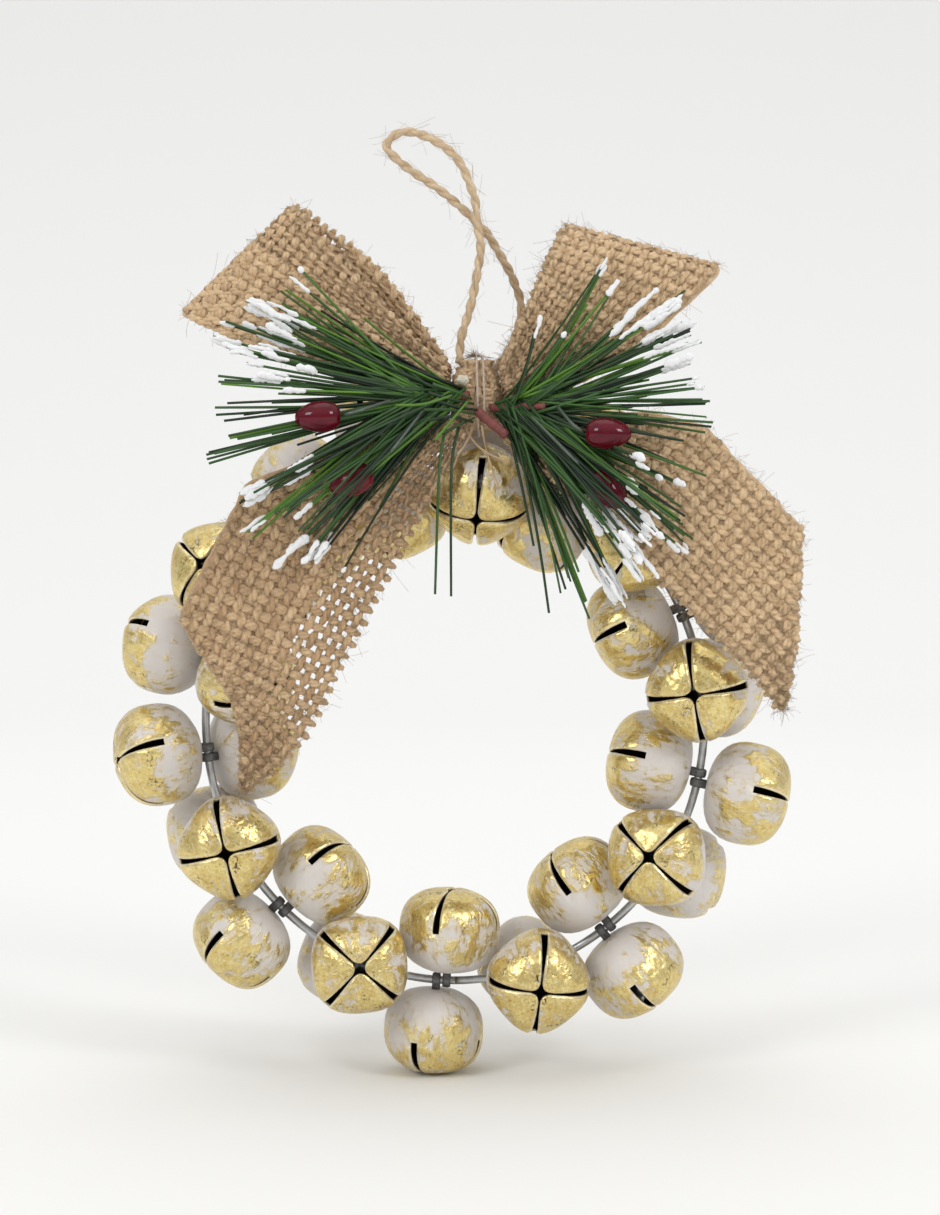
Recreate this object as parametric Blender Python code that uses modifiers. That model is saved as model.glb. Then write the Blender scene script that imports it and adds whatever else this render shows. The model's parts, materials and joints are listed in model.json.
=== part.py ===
"""A small wreath of jingle bells on a wire ring, with a burlap bow, two pine sprigs with berries
and a jute hanging loop. Sizes are in millimetres, and the scene is in metres.

Points are given from the middle of the ring: X to the right, Y to the back and Z up, and those of
the bow, the twine and the sprigs from its top. The parent empty then puts the top of the hanging
loop, where a hook would hold it, at the world's origin."""

import math
import random

import bmesh
import bpy
from mathutils import Matrix, Vector

MM = 0.001
FINE_STEPS = 400
BEND_POINTS = 8

# Wire ring, measured on the wire's centre line
RING_WIDTH = 122.0
RING_HEIGHT = 128.0
WIRE_DIAMETER = 2.0
WIRE_STEPS = 3

# Bell shell: pressed sheet with four petals, whose corners are at the slots
BELL_WIDTH = 23.6
BELL_CORNERS = 25.6
BELL_LENGTH = 20.8
BELL_WALL = 0.6
BELL_ROUNDNESS = 2.5
BELL_SEGMENTS = 8
SLOT_WIDTH = 2.6
SLOT_NECK = 0.8
# Rings of points from the back pole to the star hole, in degrees. The slots start at the third.
BELL_RINGS = (26, 58, 93, 132, 174)
SLOT_START = 3
# Width at which a slot is first split open on the unit sphere, and the angle within which a point
# belongs to that slot
SLOT_SPLIT = 0.03
SLOT_REACH = 0.3

# Strap on the bell's back, which the wire runs through
STRAP_WIDTH = 2.0
STRAP_THICKNESS = 0.5
STRAP_GAP = 0.5
STRAP_SIDES = 4
# Share of the wall that the strap's feet reach into
STRAP_ROOT = 0.75

# Ball in the bell, with the play that keeps it off the flats of the wall as it rolls
BALL_DIAMETER = 6.0
BALL_PLAY = 1.7

# Soft parts
RIBBON_THICKNESS = 0.9
RIBBON_COLUMNS = 6
LOOP_ROWS = 16
TAIL_ROWS = 12
PLEATS = 2
PLEAT_DEPTH = 1.6
PLEAT_RISE = 8.0
PLEAT_FADE = 1.6
KNOT_PLACE = (5.0, -12.5, 15.0)
KNOT_SIZE = Vector((12.5, 12.4, 18.0))
KNOT_FOLDS = 5
KNOT_DRAW = 0.12
THREAD_DIAMETER = 0.8
THREAD_PITCH = 1.4
THREAD_SLACK = 0.2
THREAD_PLACE = -8.5
# Angles between which a turn of thread lies on the knot, and the part of a turn round the wire,
# from the back over the top and in steps
THREAD_ON_KNOT = (20, 248, 19)
THREAD_ON_WIRE = (195, 395, 40)
# Share of the stretch between them that a bend takes up
THREAD_BEND = 0.3
CORD_DIAMETER = 2.3
CORD_STEP = 5.0
GLUE_SIZE = Vector((4.0, 1.6, 3.0))
GLUE_PLACE = Vector((-3.0, 0, 4.0))

# Pine sprigs and berries
STEM_DIAMETER = 2.2
STEM_RINGS = 20
STEM_SIDES = 6
NEEDLE_SHORT = 30.0
NEEDLE_LONG = 46.0
NEEDLE_TAPER = 0.4
NEEDLE_FAN = (88.0, 10.0)
NEEDLE_DEPTH = 0.30
NEEDLE_LEAN = (0.02, 0.20)
NEEDLE_SKIPPED = 0.35
BARE_STEM = 0.08
BERRY_LENGTH = 11.0
BERRY_WIDTH = 7.2
BERRY_TAPER = 0.14
BERRY_WIRE = 0.8
# Share of the stem at which its lower berry's wire leaves it
LOWER_BERRY = 0.6

CLEARANCE = 0.3

# Stations round the ring. Each gives its place in degrees, from the bottom towards the right, and
# two bells as side, lean about the wire (0 to the front, 90 to the middle) and turn of the slots.
STATIONS = (
    (-3, ("inner", 90, -16), ("outer", -90, 22)),
    (17, ("front", -5, -25), ("rear", 188, 10)),
    (36, ("inner", 92, -10), ("outer", -88, 8)),
    (56, ("front", 18, -12), ("rear", 208, 20)),
    (77, ("inner", 96, 12), ("outer", -84, -13)),
    (97.5, ("front", 10, 2), ("rear", 200, -15)),
    (116, ("inner", 92, 12), ("outer", -88, 30)),
    (135, ("front", 4, 15), ("rear", 184, 5)),
    (154, ("inner", 122, 40), ("outer", -84, 12)),
    (172.5, ("front", 38, 3), ("rear", 222, 30)),
    (-166, ("inner", 120, 25), ("outer", -96, -20)),
    (-146, ("front", 30, -20), ("rear", -150, 38)),
    (-125, ("front", -26, -7), ("rear", 152, 12)),
    (-104, ("inner", 50, 33), ("outer", -112, 24)),
    (-83, ("inner", 126, -5), ("outer", -68, 20)),
    (-63, ("front", 0, -12), ("rear", 204, -30)),
    (-43, ("inner", 94, -24), ("outer", -86, 26)),
    (-23, ("front", 7, -16), ("rear", 196, 42)),
)


def from_top(*points):
    """Points of the bow, the twine and the sprigs, which are given from the top of the ring."""
    return tuple(Vector(point) + Vector((0, 0, RING_HEIGHT / 2)) for point in points)


KNOT_CENTRE = from_top(KNOT_PLACE)[0]

# Edges of the ribbon, from the knot outwards. A loop runs out at the front and back behind it.
LOOP_LEFT_TOP = from_top((-0.6, -15, 20), (-17, -20, 37), (-33, -19, 54), (-38.5, -14, 59.5),
                         (-33, -8, 57), (-17, -6, 44), (-0.6, -10.5, 22))
LOOP_LEFT_LOW = from_top((-1.6, -15, 12), (-25, -20, 20), (-49, -20, 28), (-64, -14, 35),
                         (-50, -8, 30), (-25, -6, 22), (-1.6, -10.5, 14))
LOOP_RIGHT_TOP = from_top((10.6, -15, 20), (18, -20, 38), (24.5, -19, 51), (27, -14, 55),
                          (25, -8, 53), (19, -6, 40), (10.6, -10.5, 22))
LOOP_RIGHT_LOW = from_top((11.6, -15, 12), (36, -20, 22), (57, -20, 40), (62, -14, 46),
                          (57, -8, 41), (36, -6, 25), (11.6, -10.5, 14))
TAIL_LEFT_INNER = from_top((3.6, -17.8, 8.5), (-3, -22, -4), (-12, -25.5, -19.5), (-24, -26, -42),
                           (-36, -26.5, -65), (-49, -27, -77.5))
TAIL_LEFT_OUTER = from_top((-0.4, -16.8, 11), (-25, -22, -1), (-42, -25, -8), (-53, -27, -15.5),
                           (-60, -27.5, -26), (-63, -27, -35))
TAIL_RIGHT_INNER = from_top((8.2, -17.6, 8.5), (22, -22, -4), (35, -26, -14), (55, -27, -34.5),
                            (68, -27, -47.5), (77.5, -26.5, -59))
TAIL_RIGHT_OUTER = from_top((10.8, -16.2, 11), (35, -22, 12), (55, -25, 8.5), (67, -26, -3),
                            (75, -27, -13), (78.5, -27, -19))

# The twine leaves the top of the knot, crosses over itself and goes back down behind the bow.
CORD_ROUTE = from_top((1.2, -12.6, 23.2), (1.6, -12.8, 29), (3.9, -12.5, 37), (5.3, -12, 44),
                      (6.2, -11.5, 51), (5.2, -11.2, 56.7), (5.0, -11, 61), (3.4, -10.6, 66),
                      (0.6, -10, 71.5), (-5.0, -9.4, 76), (-12.0, -9, 78), (-16.2, -8.6, 75),
                      (-13.8, -8.0, 71.6), (-9.3, -7.6, 68.2), (-3.8, -7.4, 64.6),
                      (1.3, -7.3, 60.4), (5.4, -7.2, 56.6), (7.9, -6.6, 53.8), (11.1, -5, 48.8),
                      (14.2, -3, 43), (16, -1.6, 36), (13.4, -2.2, 27), (8.0, -5.2, 20))

# Stem ends and berries of the sprigs
STEM_LEFT = from_top((3.2, -19.7, 15.5), (-20, -31, 14))
STEM_RIGHT = from_top((8.8, -18.5, 12.5), (29, -31, 13))
BERRIES_LEFT = from_top((-31, -37, 10.4), (-23.5, -35, -4.3))
BERRIES_RIGHT = from_top((35.2, -37, 6.6), (35.2, -36, -6.4))

WIRE_RADIUS = WIRE_DIAMETER / 2
STRAP_INSIDE = WIRE_RADIUS + CLEARANCE
STRAP_OUTSIDE = STRAP_INSIDE + STRAP_THICKNESS
BELL_BACK = STRAP_OUTSIDE + CLEARANCE
BELL_MIDDLE = BELL_BACK + BELL_LENGTH / 2
BALL_ROLL = BELL_WIDTH / 2 - BELL_WALL - BALL_DIAMETER / 2 - BALL_PLAY
FRONT = Vector((0, -1, 0))
HANG_POINT = max(CORD_ROUTE, key=lambda point: point.z) - Vector((0, 0, CORD_DIAMETER / 2))


def clear_scene():
    for item in list(bpy.data.objects):
        bpy.data.objects.remove(item, do_unlink=True)


def new_collection(name):
    collection = bpy.data.collections.new(name)
    bpy.context.scene.collection.children.link(collection)
    return collection


def new_material(name, colour, roughness, metallic=0.0):
    material = bpy.data.materials.new(name)
    material.use_nodes = True
    shader = material.node_tree.nodes["Principled BSDF"]
    shader.inputs["Base Color"].default_value = (*colour, 1.0)
    shader.inputs["Roughness"].default_value = roughness
    shader.inputs["Metallic"].default_value = metallic
    return material


def add_object(name, data, material):
    """Links a new object to the wreath, with its own copy of the material."""
    item = bpy.data.objects.new(name, data)
    data.materials.append(material)
    PARTS.objects.link(item)
    item.parent = CENTRE
    return item


def mesh_from(name, bm):
    """Makes a mesh in metres from a bmesh in millimetres."""
    bmesh.ops.scale(bm, vec=(MM, MM, MM), verts=bm.verts)
    bmesh.ops.recalc_face_normals(bm, faces=bm.faces)
    mesh = bpy.data.meshes.new(name)
    bm.to_mesh(mesh)
    bm.free()
    mesh.shade_smooth()
    mesh.set_sharp_from_angle(angle=math.radians(40))
    return mesh


def smooth_point(points, share):
    """The point at a share from 0 to 1 along a smooth curve through all the points."""
    place = share * (len(points) - 1)
    index = min(int(place), len(points) - 2)
    t = place - index
    near = [Vector(points[min(max(index + k, 0), len(points) - 1)]) for k in (-1, 0, 1, 2)]
    slope_a = (near[2] - near[0]) / 2
    slope_b = (near[3] - near[1]) / 2
    start = (2 * t ** 3 - 3 * t ** 2 + 1) * near[1] + (t ** 3 - 2 * t ** 2 + t) * slope_a
    return start + (3 * t ** 2 - 2 * t ** 3) * near[2] + (t ** 3 - t ** 2) * slope_b


def even_points(points, step):
    """Points about one step apart along the smooth curve through the given points."""
    fine = [smooth_point(points, k / FINE_STEPS) for k in range(FINE_STEPS + 1)]
    length = sum((b - a).length for a, b in zip(fine, fine[1:]))
    count = max(2, round(length / step))
    picked = [fine[0]]
    walked = 0.0
    for a, b in zip(fine, fine[1:]):
        walked += (b - a).length
        if walked >= length * len(picked) / count and len(picked) < count:
            picked.append(b)
    return picked + [fine[-1]]


def least_gap(route, diameter):
    """The least gap of a wound tube to itself, between points that are a bend or more apart."""
    points = even_points(route, diameter)
    apart = [(a - b).length for k, a in enumerate(points) for b in points[k + BEND_POINTS:]]
    return min(apart) - diameter


def tube(name, points, diameter, material, cyclic=False):
    curve = bpy.data.curves.new(name, "CURVE")
    curve.dimensions = "3D"
    curve.bevel_depth = diameter / 2 * MM
    curve.bevel_resolution = 2
    curve.use_fill_caps = True
    spline = curve.splines.new("POLY")
    spline.points.add(len(points) - 1)
    for target, point in zip(spline.points, points):
        target.co = (*(Vector(point) * MM), 1.0)
    spline.use_cyclic_u = cyclic
    spline.use_smooth = True
    return add_object(name, curve, material)


def wire_frame(degrees):
    """The wire's centre, its direction and the way to the ring's middle, at a place on the ring."""
    wide, tall = RING_WIDTH / 2, RING_HEIGHT / 2
    angle = math.radians(degrees)
    turn = math.atan2(math.sin(angle) / wide, math.cos(angle) / tall)
    centre = Vector((wide * math.sin(turn), 0, -tall * math.cos(turn)))
    along = Vector((wide * math.cos(turn), 0, tall * math.sin(turn))).normalized()
    inward = Vector((-along.z, 0, along.x))
    return centre, along, inward


def wire_ring():
    """The ring as even chords between stations, with the middle of a chord at each station."""
    places = [place for place, *_ in STATIONS]
    points = []
    for number, place in enumerate(places):
        step = (places[(number + 1) % len(places)] - place) % 360
        shares = [(k + 0.5) / WIRE_STEPS for k in range(WIRE_STEPS)]
        stretch = 1 / math.cos(math.radians(step / WIRE_STEPS / 2))
        points += [wire_frame(place + step * share)[0] * stretch for share in shares]
    return tube("wire_ring", points, WIRE_DIAMETER, STEEL, cyclic=True)


def bell_point(ring, longitude, side):
    """A point on the bell's outside. Its side is -1 or 1 on a slot's edge, and 0 elsewhere."""
    polar = math.radians(BELL_RINGS[ring - 1]) if ring else 0.0
    power = 2 / BELL_ROUNDNESS
    out = math.sin(polar) ** power
    up = math.copysign(abs(math.cos(polar)) ** power, math.cos(polar))
    mean = (BELL_WIDTH + BELL_CORNERS) / 4
    swell = (BELL_CORNERS - BELL_WIDTH) / 4 * min(1.0, ring / SLOT_START)
    radius = out * (mean + swell * math.cos(4 * longitude))
    point = Vector((radius, 0, BELL_MIDDLE - up * BELL_LENGTH / 2))
    if side:
        share = (ring - SLOT_START) / (len(BELL_RINGS) - SLOT_START)
        point.y = side * (SLOT_WIDTH + (SLOT_NECK - SLOT_WIDTH) * share) / 2
    return Matrix.Rotation(longitude, 3, "Z") @ point


def bell_shell(name, turn):
    """An open shell: a sphere's grid with four slots cut out, drawn to the bell's form."""
    bm = bmesh.new()
    rings = len(BELL_RINGS) + 1
    bmesh.ops.create_uvsphere(bm, u_segments=BELL_SEGMENTS, v_segments=rings, radius=1.0)

    def place(vert):
        ring = round(math.acos(max(-1.0, min(1.0, -vert.co.normalized().z))) / math.pi * rings)
        longitude = math.atan2(vert.co.y, vert.co.x)
        slot = round(longitude / (math.pi / 2)) * math.pi / 2
        return ring, longitude, slot

    front = max(bm.verts, key=lambda vert: vert.co.z)
    bmesh.ops.delete(bm, geom=[front], context="VERTS")
    cuts = []
    for edge in bm.edges:
        ends = [place(vert) for vert in edge.verts]
        on_slot = all(abs(longitude - slot) < 0.01 for _, longitude, slot in ends)
        lengthwise = ends[0][0] != ends[1][0]
        if on_slot and lengthwise and min(ends[0][0], ends[1][0]) >= SLOT_START:
            cuts.append(edge)
    strips = bmesh.ops.bevel(bm, geom=cuts, offset=SLOT_SPLIT, offset_type="OFFSET", segments=1,
                             profile=0.5, affect="EDGES", clamp_overlap=False)["faces"]
    bmesh.ops.delete(bm, geom=strips, context="FACES")
    for vert in bm.verts:
        ring, longitude, slot = place(vert)
        lean = longitude - slot
        if ring >= SLOT_START and 0.001 < abs(lean) < SLOT_REACH:
            vert.co = bell_point(ring, slot, math.copysign(1, lean))
        elif ring == 0:
            vert.co = bell_point(0, 0.0, 0)
        else:
            vert.co = bell_point(ring, longitude, 0)
    bmesh.ops.rotate(bm, matrix=Matrix.Rotation(math.radians(turn), 3, "Z"), verts=bm.verts)
    return mesh_from(name, bm)


def strap_mesh():
    """A flat strip that bridges the wire, with its feet in the wall of the bell's back."""
    bm = bmesh.new()
    foot = BELL_BACK + BELL_WALL * STRAP_ROOT
    arc = [math.pi * k / STRAP_SIDES for k in range(STRAP_SIDES + 1)]
    outside = [(STRAP_OUTSIDE * math.cos(a), -STRAP_OUTSIDE * math.sin(a)) for a in arc]
    inside = [(STRAP_INSIDE * math.cos(a), -STRAP_INSIDE * math.sin(a)) for a in reversed(arc)]
    outline = [(STRAP_OUTSIDE, foot), *outside, (-STRAP_OUTSIDE, foot)]
    outline += [(-STRAP_INSIDE, foot), *inside, (STRAP_INSIDE, foot)]
    verts = [bm.verts.new((-STRAP_WIDTH / 2, y, z)) for y, z in outline]
    face = bm.faces.new(verts)
    grown = bmesh.ops.extrude_face_region(bm, geom=[face])["geom"]
    moved = [part for part in grown if isinstance(part, bmesh.types.BMVert)]
    bmesh.ops.translate(bm, vec=(STRAP_WIDTH, 0, 0), verts=moved)
    return mesh_from("strap", bm)


def bell(number, place, side, lean, turn, shift, strap):
    """A bell whose origin is on the wire: X runs along the wire and Z out through the bell."""
    name = f"bell_{number:02d}_{side}"
    centre, along, inward = wire_frame(place)
    out = FRONT * math.cos(math.radians(lean)) + inward * math.sin(math.radians(lean))
    item = add_object(name, bell_shell(name, turn), PAINT)
    frame = Matrix((along, out.cross(along), out)).transposed().to_4x4()
    frame.translation = (centre + along * shift) * MM
    item.matrix_local = frame
    wall = item.modifiers.new("Wall", "SOLIDIFY")
    wall.thickness = BELL_WALL * MM
    wall.offset = -1
    helper = bpy.data.objects.new(f"strap_of_{name}", strap)
    CUTTERS.objects.link(helper)
    helper.parent = item
    helper.hide_render = True
    helper.display_type = "WIRE"
    join = item.modifiers.new("Strap", "BOOLEAN")
    join.operation = "UNION"
    join.object = helper
    return item


def ball(number, bell_item):
    """A loose ball at the lowest place in its bell, with its origin at the bell's middle."""
    name = f"ball_{number:02d}"
    bm = bmesh.new()
    bmesh.ops.create_uvsphere(bm, u_segments=8, v_segments=6, radius=BALL_DIAMETER / 2)
    bmesh.ops.translate(bm, vec=(0, 0, -BALL_ROLL), verts=bm.verts)
    item = add_object(name, mesh_from(name, bm), STEEL)
    item.parent = bell_item
    frame = bell_item.matrix_local.to_3x3().inverted().to_4x4()
    frame.translation = Vector((0, 0, BELL_MIDDLE)) * MM
    item.matrix_local = frame
    return item


def bells():
    strap = strap_mesh()
    half_step = (STRAP_WIDTH + STRAP_GAP) / 2
    for number, (place, *pair) in enumerate(STATIONS):
        for shift, (side, lean, turn) in zip((half_step, -half_step), pair):
            item = bell(number, place, side, lean, turn, shift, strap)
            if side == "front":
                ball(number, item)


def ribbon(name, edge_a, edge_b, rows, gathered_ends):
    """A strip of cloth between two edges, gathered into pleats where it enters the knot."""
    bm = bmesh.new()
    bmesh.ops.create_grid(bm, x_segments=rows, y_segments=RIBBON_COLUMNS, size=1.0)
    for vert in bm.verts:
        along, across = (vert.co.x + 1) / 2, (vert.co.y + 1) / 2
        point = smooth_point(edge_a, along).lerp(smooth_point(edge_b, along), across)
        from_knot = min(along, 1 - along) * 2 if gathered_ends == 2 else along
        gather = max(0.0, 1 - PLEAT_FADE * from_knot) * min(1.0, PLEAT_RISE * from_knot)
        point.y -= PLEAT_DEPTH * gather * math.cos(2 * math.pi * PLEATS * across)
        vert.co = point
    item = add_object(name, mesh_from(name, bm), BURLAP)
    cloth = item.modifiers.new("Cloth", "SOLIDIFY")
    cloth.thickness = RIBBON_THICKNESS * MM
    cloth.offset = 0
    return item


def bow_knot():
    """The bow's crumpled middle, drawn in between folds that run round it."""
    bm = bmesh.new()
    bmesh.ops.create_uvsphere(bm, u_segments=20, v_segments=8, radius=0.5)
    for vert in bm.verts:
        longitude = math.atan2(vert.co.y, vert.co.x)
        ring = math.hypot(vert.co.x, vert.co.y)
        draw = 1 - KNOT_DRAW * ring * (1 - math.cos(KNOT_FOLDS * longitude))
        vert.co.x *= KNOT_SIZE.x * draw
        vert.co.y *= KNOT_SIZE.y * draw
        vert.co.z *= KNOT_SIZE.z
    bmesh.ops.translate(bm, vec=KNOT_CENTRE, verts=bm.verts)
    return add_object("bow_knot", mesh_from("bow_knot", bm), BURLAP)


def tie_thread():
    """Thread wound over the knot and round the wire, and once more over the knot."""
    gap = CLEARANCE + THREAD_SLACK + THREAD_DIAMETER / 2
    half = KNOT_SIZE / 2 + Vector((gap, gap, gap))
    wire = from_top((THREAD_PLACE, 0, 0))[0]
    wrap = WIRE_RADIUS + 2 * gap
    start, end, step = THREAD_ON_KNOT
    on_knot = [KNOT_CENTRE + Vector((0, half.y * math.cos(angle), half.z * math.sin(angle)))
               for angle in map(math.radians, range(start, end + 1, step))]
    start, end, step = THREAD_ON_WIRE
    on_wire = [wire + Vector((0, math.cos(angle), math.sin(angle))) * wrap
               for angle in map(math.radians, range(start, end + 1, step))]
    down = wire + Vector((wrap, -half.y, half.z / 2))
    back = wire + Vector((2 * wrap, -half.y / 2, half.z))
    leaving = on_knot[-1].lerp(down, THREAD_BEND)
    coming = on_knot[0].lerp(back, THREAD_BEND)
    turn = [*on_knot[2:], leaving, down, *on_wire, back, coming]
    route = [point + Vector((THREAD_PITCH * k / len(turn), 0, 0))
             for k, point in enumerate([*turn, *on_knot[:-1]])]
    print("least gap of the thread to itself, mm:", round(least_gap(route, THREAD_DIAMETER), 2))
    return tube("tie_thread", even_points(route, 3 * THREAD_DIAMETER), THREAD_DIAMETER, THREAD)


def hanging_loop():
    return tube("hanging_loop", even_points(CORD_ROUTE, CORD_STEP), CORD_DIAMETER, JUTE)


def glue_dab():
    bm = bmesh.new()
    bmesh.ops.create_uvsphere(bm, u_segments=10, v_segments=6, radius=0.5)
    bmesh.ops.scale(bm, vec=GLUE_SIZE, verts=bm.verts)
    half = KNOT_SIZE / 2
    depth = half.y * math.sqrt(1 - (GLUE_PLACE.x / half.x) ** 2 - (GLUE_PLACE.z / half.z) ** 2)
    seat = depth + CLEARANCE + GLUE_SIZE.y / 2
    bmesh.ops.translate(bm, vec=KNOT_CENTRE + FRONT * seat + GLUE_PLACE, verts=bm.verts)
    return add_object("glue_dab", mesh_from("glue_dab", bm), GLUE)


def draw_out(bm, face, tip, size):
    """Extrudes one face to a tip and shrinks it there to the given size."""
    grown = bmesh.ops.extrude_discrete_faces(bm, faces=[face])["faces"][0]
    middle = grown.calc_center_median()
    reach = max((vert.co - middle).length for vert in grown.verts)
    for vert in grown.verts:
        vert.co = tip + (vert.co - middle) * (size / 2 / reach)
    return grown


def too_near(berry, start, way, reach):
    """Whether a needle would run into a berry."""
    along = min(max((berry - start).dot(way), 0.0), reach)
    return (berry - start - way * along).length < BERRY_LENGTH / 2 + STEM_DIAMETER / 2


def berry_seat(berry, start):
    """Where a berry's wire ends, just short of the berry."""
    return berry - (berry - start).normalized() * (BERRY_LENGTH / 2 + CLEARANCE)


def berry_wires(stem):
    """Where the two berry wires leave the taped stem: at its tip and past its middle."""
    return stem[1], stem[0].lerp(stem[1], LOWER_BERRY)


def pine_sprig(name, stem, berries, seed):
    """A taped stem with needles drawn out of its sides and two thin wires that carry berries."""
    draw = random.Random(seed)
    root, tip = stem
    run = tip - root
    along = run.normalized()
    front = (FRONT - along * FRONT.dot(along)).normalized()
    up = front.cross(along)
    if up.z < 0:
        up = -up
    bm = bmesh.new()
    bmesh.ops.create_cone(bm, cap_ends=True, segments=STEM_SIDES, radius1=STEM_DIAMETER / 2,
                          radius2=STEM_DIAMETER / 2, depth=run.length)
    long_edges = [edge for edge in bm.edges if abs((edge.verts[0].co - edge.verts[1].co).z) > 1]
    bmesh.ops.subdivide_edges(bm, edges=long_edges, cuts=STEM_RINGS - 1, use_grid_fill=True)
    sides = [face for face in bm.faces if abs(face.normal.z) < 0.5]
    end = max(bm.faces, key=lambda face: face.calc_center_median().z)
    frame = Matrix((up, front, along)).transposed().to_4x4()
    frame.translation = (root + tip) / 2
    sides.sort(key=lambda face: (round(face.calc_center_median().z, 3),
                                 math.atan2(face.normal.y, face.normal.x)))
    bmesh.ops.transform(bm, matrix=frame, verts=bm.verts)
    bm.normal_update()
    starts = berry_wires(stem)
    lower = min(sides, key=lambda face: (face.calc_center_median() - starts[1]).length
                - face.normal.dot(berries[1] - starts[1]))
    for face in sides:
        middle = face.calc_center_median()
        share = (middle - root).dot(along) / run.length
        out = face.normal.copy()
        if out.dot(front) < -0.2 or share < BARE_STEM or face is lower:
            continue
        if draw.random() < NEEDLE_SKIPPED:
            continue
        fan = math.radians(NEEDLE_FAN[0] + (NEEDLE_FAN[1] - NEEDLE_FAN[0]) * share)
        rise = out.dot(up)
        spread = (up * rise + front * out.dot(front) * NEEDLE_DEPTH).normalized()
        way = along * math.cos(fan * abs(rise) ** 0.5) + spread * math.sin(fan * abs(rise) ** 0.5)
        way = (way + front * draw.uniform(*NEEDLE_LEAN)).normalized()
        reach = draw.uniform(NEEDLE_SHORT, NEEDLE_LONG)
        if any(too_near(berry, middle, way, reach) for berry in berries):
            continue
        draw_out(bm, face, middle + way * reach, STEM_DIAMETER * NEEDLE_TAPER)
    for face, berry, start in zip((end, lower), berries, starts):
        middle = face.calc_center_median()
        neck = draw_out(bm, face, middle + face.normal * BERRY_WIRE, BERRY_WIRE)
        draw_out(bm, neck, berry_seat(berry, start), BERRY_WIRE)
    return add_object(name, mesh_from(name, bm), NEEDLES)


def berry(name, place, root):
    """An egg-shaped berry that points away from its stem."""
    bm = bmesh.new()
    bmesh.ops.create_uvsphere(bm, u_segments=10, v_segments=7, radius=0.5)
    for vert in bm.verts:
        taper = 1 - BERRY_TAPER * vert.co.z
        vert.co = Vector((vert.co.x * BERRY_WIDTH * taper, vert.co.y * BERRY_WIDTH * taper,
                          vert.co.z * BERRY_LENGTH))
    turn = Vector((0, 0, 1)).rotation_difference((place - root).normalized())
    bmesh.ops.transform(bm, matrix=Matrix.Translation(place) @ turn.to_matrix().to_4x4(),
                        verts=bm.verts)
    return add_object(name, mesh_from(name, bm), BERRY)


def sprigs():
    for side, stem, berries, seed in (("left", STEM_LEFT, BERRIES_LEFT, 3),
                                      ("right", STEM_RIGHT, BERRIES_RIGHT, 8)):
        pine_sprig(f"pine_sprig_{side}", stem, berries, seed)
        for level, place, start in zip(("upper", "lower"), berries, berry_wires(stem)):
            berry(f"berry_{side}_{level}", place, start)


def bow():
    bow_knot()
    ribbon("bow_loop_left", LOOP_LEFT_TOP, LOOP_LEFT_LOW, LOOP_ROWS, 2)
    ribbon("bow_loop_right", LOOP_RIGHT_TOP, LOOP_RIGHT_LOW, LOOP_ROWS, 2)
    ribbon("ribbon_tail_left", TAIL_LEFT_INNER, TAIL_LEFT_OUTER, TAIL_ROWS, 1)
    ribbon("ribbon_tail_right", TAIL_RIGHT_INNER, TAIL_RIGHT_OUTER, TAIL_ROWS, 1)
    tie_thread()
    glue_dab()
    hanging_loop()


clear_scene()
PARTS = new_collection("jingle_bell_wreath")
CUTTERS = new_collection("cutters")
CENTRE = bpy.data.objects.new("wreath_centre", None)
PARTS.objects.link(CENTRE)
CENTRE.location = -HANG_POINT * MM
STEEL = new_material("galvanised_steel", (0.52, 0.53, 0.54), 0.38, 1.0)
PAINT = new_material("white_and_gold_paint", (0.62, 0.49, 0.22), 0.4, 0.5)
BURLAP = new_material("burlap", (0.46, 0.29, 0.15), 0.95)
THREAD = new_material("pale_thread", (0.72, 0.62, 0.48), 0.8)
JUTE = new_material("jute_twine", (0.58, 0.40, 0.21), 0.9)
GLUE = new_material("hot_glue", (0.82, 0.80, 0.72), 0.3)
NEEDLES = new_material("pine_needles", (0.035, 0.13, 0.025), 0.45)
BERRY = new_material("berry_lacquer", (0.30, 0.01, 0.03), 0.12)

wire_ring()
bells()
bow()
sprigs()
bpy.context.view_layer.update()
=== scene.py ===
# %% [markdown]
# # A wreath of jingle bells, finished in Blender
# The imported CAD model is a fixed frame: it says where every piece sits and how it moves.
# This lesson makes each piece again with the surface of the real one, which is pressed shells
# under worn gold leaf, woven burlap, plastic needles with snow, lacquered berries and twine.

# %% Load the frame
import json
import math
import random

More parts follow.
